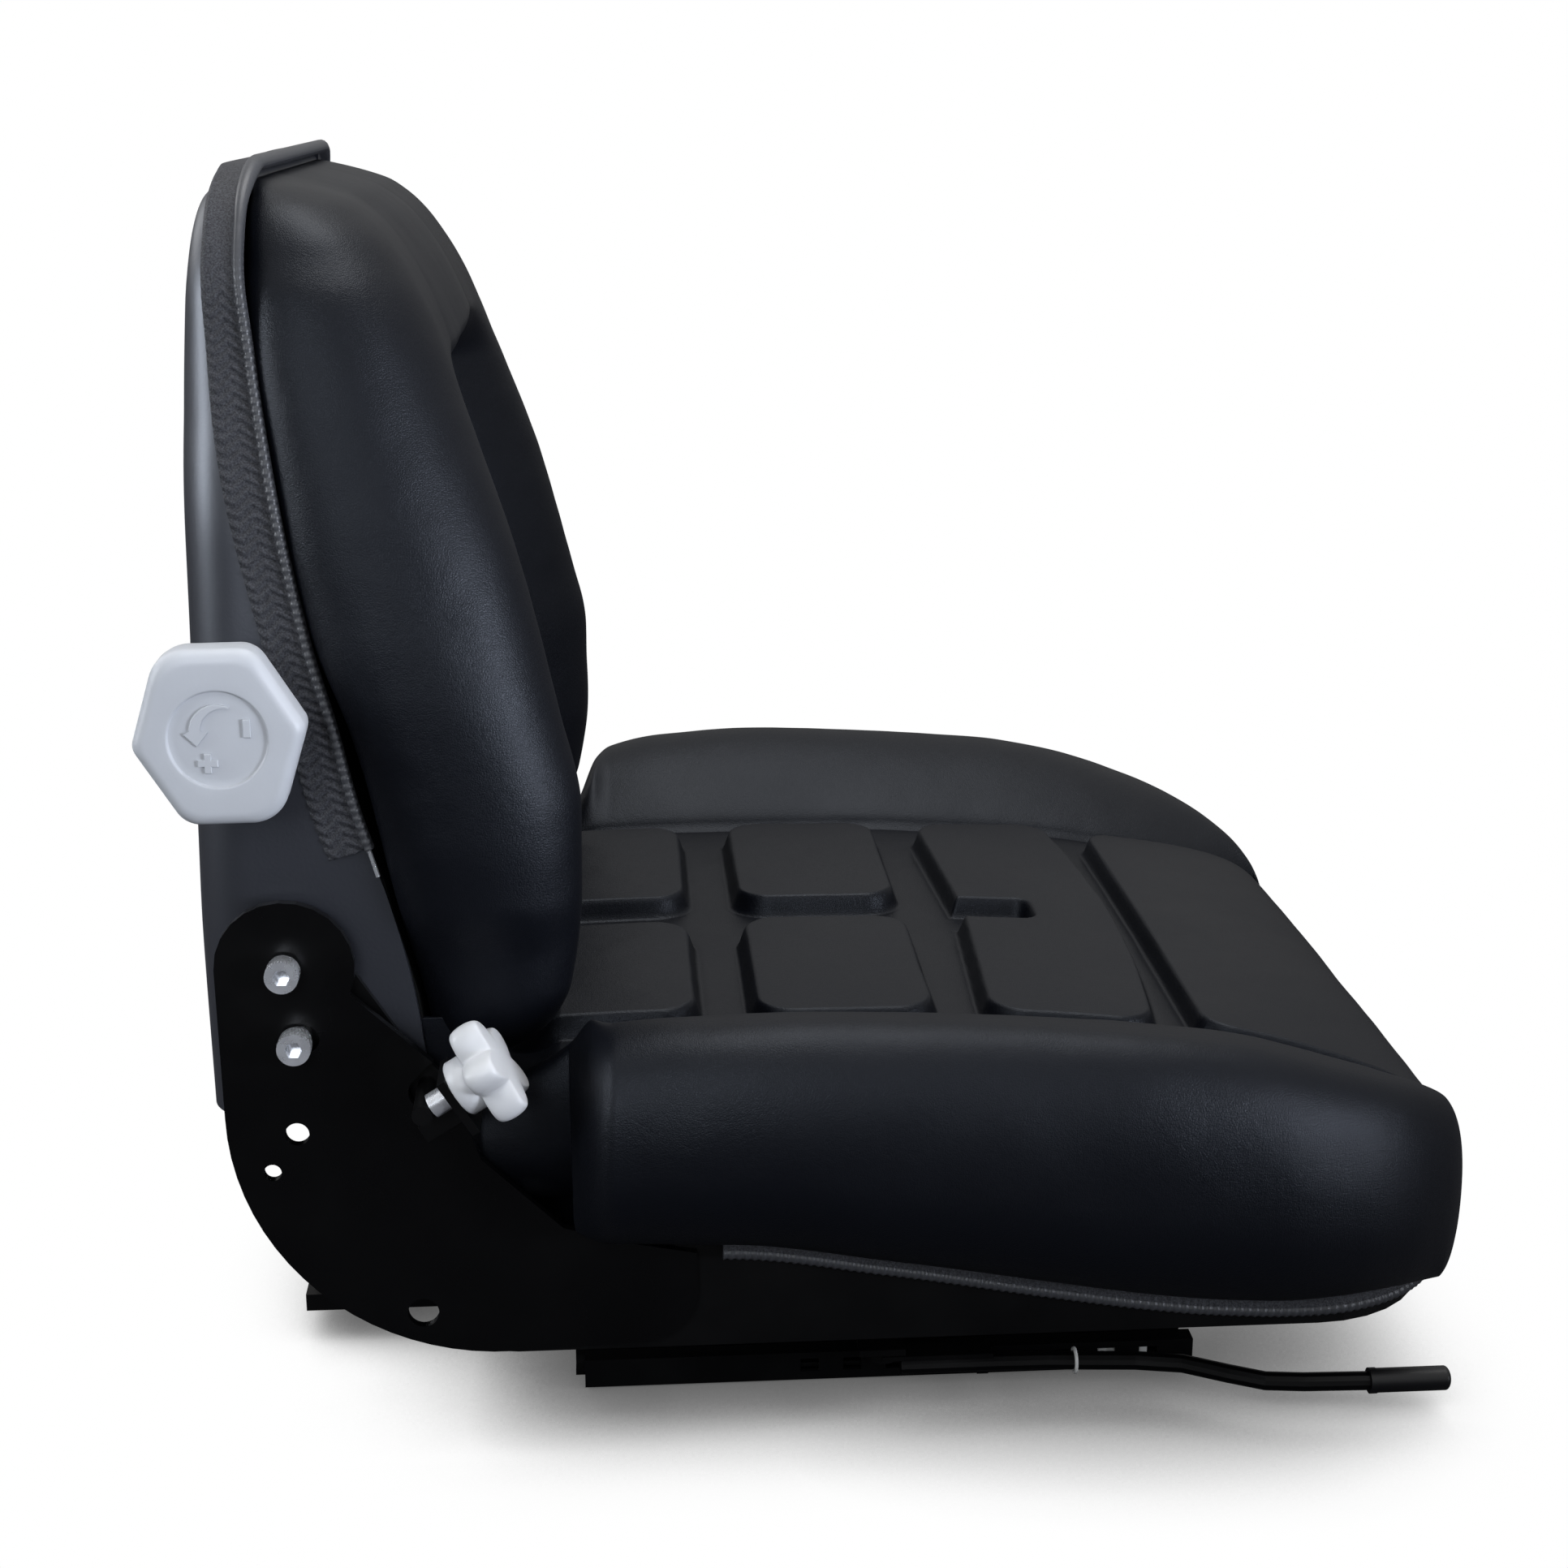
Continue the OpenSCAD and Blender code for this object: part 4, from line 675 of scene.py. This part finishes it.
def star_knob():
    """Five soft lobes on a stepped hub."""
    ax = np.array([0.848048, 0, 0.529919])
    side = np.array([0.0, 1.0, 0.0])
    up = np.cross(ax, side)
    ang = np.linspace(0, 2 * math.pi, 150, endpoint=False)
    lobe = 0.5 + 0.5 * np.cos(5 * (ang - math.pi / 2))
    star = 13.4 + 8.0 * lobe ** 0.75
    rows = []
    for t in np.linspace(0, math.pi, 19):
        rows.append((star - 3.4 * (1 - math.sin(t) ** 0.7), -6.5 * math.cos(t)))
    dome = [(r, 6.5 + 0.5 * (1 - (r / 14) ** 2)) for r in (9, 5, 2)]
    rows = [(np.full(150, 6.5), -15), (np.full(150, 10.8), -15), (np.full(150, 11.5), -14.3), (np.full(150, 11.5), -7.6), (np.full(150, 10.6), -6.9)] + rows
    rows += [(np.minimum(star - 3.4, r), h) for r, h in dome]
    c = np.array([-165.8, -209, 180.4])
    v = np.concatenate([c + np.outer(h, ax) + np.outer(r * np.cos(ang), side) + np.outer(r * np.sin(ang), up) for r, h in
                        ((r, np.full(150, h)) for r, h in rows)])
    n = 150
    return mesh("star_knob_skin", v, grid_faces(len(rows), n) + [tuple(range(n)), tuple((len(rows) - 1) * n + i for i in range(n))], M["star"])


star = star_knob()
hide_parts("star_knob")
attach(star, "star_head")


def knurl(name, x, z, side):
    """Fine straight knurling round a socket head."""
    n = 132
    ang = np.linspace(0, 2 * math.pi, n, endpoint=False)
    rad = 6.52 + 0.13 * np.cos(ang * 33)
    rings = []
    for y, dr in ((193.6, -0.3), (194.0, 0), (200.2, 0), (200.7, -0.45)):
        rings.append(np.column_stack([x + (rad + dr) * np.cos(ang), np.full(n, side * y), z + (rad + dr) * np.sin(ang)]))
    back = np.column_stack([x + 6.0 * np.cos(ang), np.full(n, side * 200.7), z + 6.0 * np.sin(ang)])
    back2 = np.column_stack([x + 6.0 * np.cos(ang), np.full(n, side * 193.6), z + 6.0 * np.sin(ang)])
    o = mesh(name, np.concatenate(rings + [back, back2, rings[0]]), grid_faces(7, n), M["zinc"])
    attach(o, "backrest")


for tag, side in (("right", -1), ("left", 1)):
    knurl("pivot_head_" + tag, -245, 217, side)
    knurl("guide_head_" + tag, -242, 187.15, side)


# Ends of the back cover, pulled round the board's lower corners
for tag, sgn in (("right", -1), ("left", 1)):
    o = prism("cover_gusset_" + tag, [(-198, 190), (-179, 190), (-176, 180), (-176.5, 166), (-186, 160), (-198, 160)], sgn * 175.5, sgn * 177.5 - 0.22, M["vinyl"], "backrest")


# ------------------------------------------------------------- camera
cam_data = bpy.data.cameras.new("camera")
cam = bpy.data.objects.new("camera", cam_data)
bpy.context.scene.collection.objects.link(cam)
yaw, pitch = 0.0721559, 0.2833908
cam.location = (-0.11585, -1.08702, 0.54921)
cam.rotation_euler = (math.pi / 2 - pitch, 0, -yaw)
cam_data.sensor_width = 36
cam_data.lens = 3.0002 / 1.932 * 36
cam_data.clip_start = 0.01
bpy.context.scene.camera = cam


# -------------------------------------------------------- floor and lights
def area(name, loc, target, size, power, spread=180, tint=(1.0, 1.0, 1.0)):
    d = bpy.data.lights.new(name, "AREA")
    d.energy = power
    d.color = tint
    d.size = size
    d.spread = math.radians(spread)
    o = bpy.data.objects.new(name, d)
    o.location = loc
    v = np.array(target, float) - np.array(loc, float)
    import mathutils
    o.rotation_euler = mathutils.Vector(v).to_track_quat("-Z", "Y").to_euler()
    bpy.context.scene.collection.objects.link(o)
    return o


def studio():
    sc = bpy.context.scene
    sc.view_settings.view_transform = "Standard"
    w = bpy.data.worlds.new("world")
    sc.world = w
    w.use_nodes = True
    nt = w.node_tree
    bg = nt.nodes["Background"]
    bg.inputs["Color"].default_value = (1, 1, 1, 1)
    lp = nt.nodes.new("ShaderNodeLightPath")
    tc = nt.nodes.new("ShaderNodeTexCoord")
    sep = nt.nodes.new("ShaderNodeSeparateXYZ")
    nt.links.new(tc.outputs["Generated"], sep.inputs["Vector"])
    # Light on the object: bright overhead, dim near the horizon and below it
    sky = node(nt, "ShaderNodeMapRange")
    for key, value in (("From Min", -0.1), ("From Max", 0.9), ("To Min", 0.02), ("To Max", 0.7)):
        sky.inputs[key].default_value = value
    nt.links.new(sep.outputs["Z"], sky.inputs["Value"])
    seen = node(nt, "ShaderNodeMath", operation="MAXIMUM")
    nt.links.new(lp.outputs["Is Camera Ray"], seen.inputs[0])
    nt.links.new(lp.outputs["Is Transmission Ray"], seen.inputs[1])
    glossy = node(nt, "ShaderNodeMath", operation="MULTIPLY")
    nt.links.new(lp.outputs["Is Glossy Ray"], glossy.inputs[0])
    glossy.inputs[1].default_value = 0.08
    total = node(nt, "ShaderNodeMath", operation="MAXIMUM")
    nt.links.new(seen.outputs[0], total.inputs[0])
    nt.links.new(glossy.outputs[0], total.inputs[1])
    mx = node(nt, "ShaderNodeMix")
    nt.links.new(total.outputs[0], mx.inputs[0])
    nt.links.new(sky.outputs["Result"], mx.inputs[2])
    mx.inputs[3].default_value = 1.0
    nt.links.new(mx.outputs[0], bg.inputs["Strength"])
    # Floor: white to the camera, darkened where the seat shades it
    o = mesh("floor", [(-4000, -4000, -1), (4000, -4000, -1), (4000, 4000, -1), (-4000, 4000, -1)], [(0, 1, 2, 3)], None, False)
    m, nt, b = material("floor", (0.07, 0.07, 0.075), 0.9, spec=0.0)
    ao = node(nt, "ShaderNodeAmbientOcclusion", Distance=0.10)
    ao.samples = 16
    r = ramp(nt, ao.outputs["AO"], [(0.0, 0.05), (0.35, 0.22), (0.6, 0.66), (0.74, 0.93), (0.84, 1.0)])
    em = nt.nodes.new("ShaderNodeEmission")
    nt.links.new(r.outputs["Color"], em.inputs["Color"])
    lp = nt.nodes.new("ShaderNodeLightPath")
    mix = nt.nodes.new("ShaderNodeMixShader")
    nt.links.new(lp.outputs["Is Camera Ray"], mix.inputs["Fac"])
    nt.links.new(b.outputs["BSDF"], mix.inputs[1])
    nt.links.new(em.outputs["Emission"], mix.inputs[2])
    nt.links.new(mix.outputs["Shader"], nt.nodes["Material Output"].inputs["Surface"])
    o.data.materials.append(m)
    area("key", (0.1, 0.05, 1.9), (0.0, 0.0, 0.2), 1.1, 16)
    area("front_card", (-0.50, -1.42, 0.80), (-0.27, -0.15, 0.46), 0.5, 5.5, 180, (0.88, 0.93, 1.0))
    area("left_card", (-1.45, -0.38, 0.62), (-0.27, -0.15, 0.43), 0.45, 1.3, 70, (0.88, 0.93, 1.0))
    area("right_card", (0.95, -0.85, 0.42), (-0.17, -0.15, 0.42), 0.45, 1.2, 40, (0.84, 0.89, 1.0))
    area("back_left", (-1.5, 0.6, 1.2), (-0.2, 0.0, 0.3), 0.8, 6)


studio()
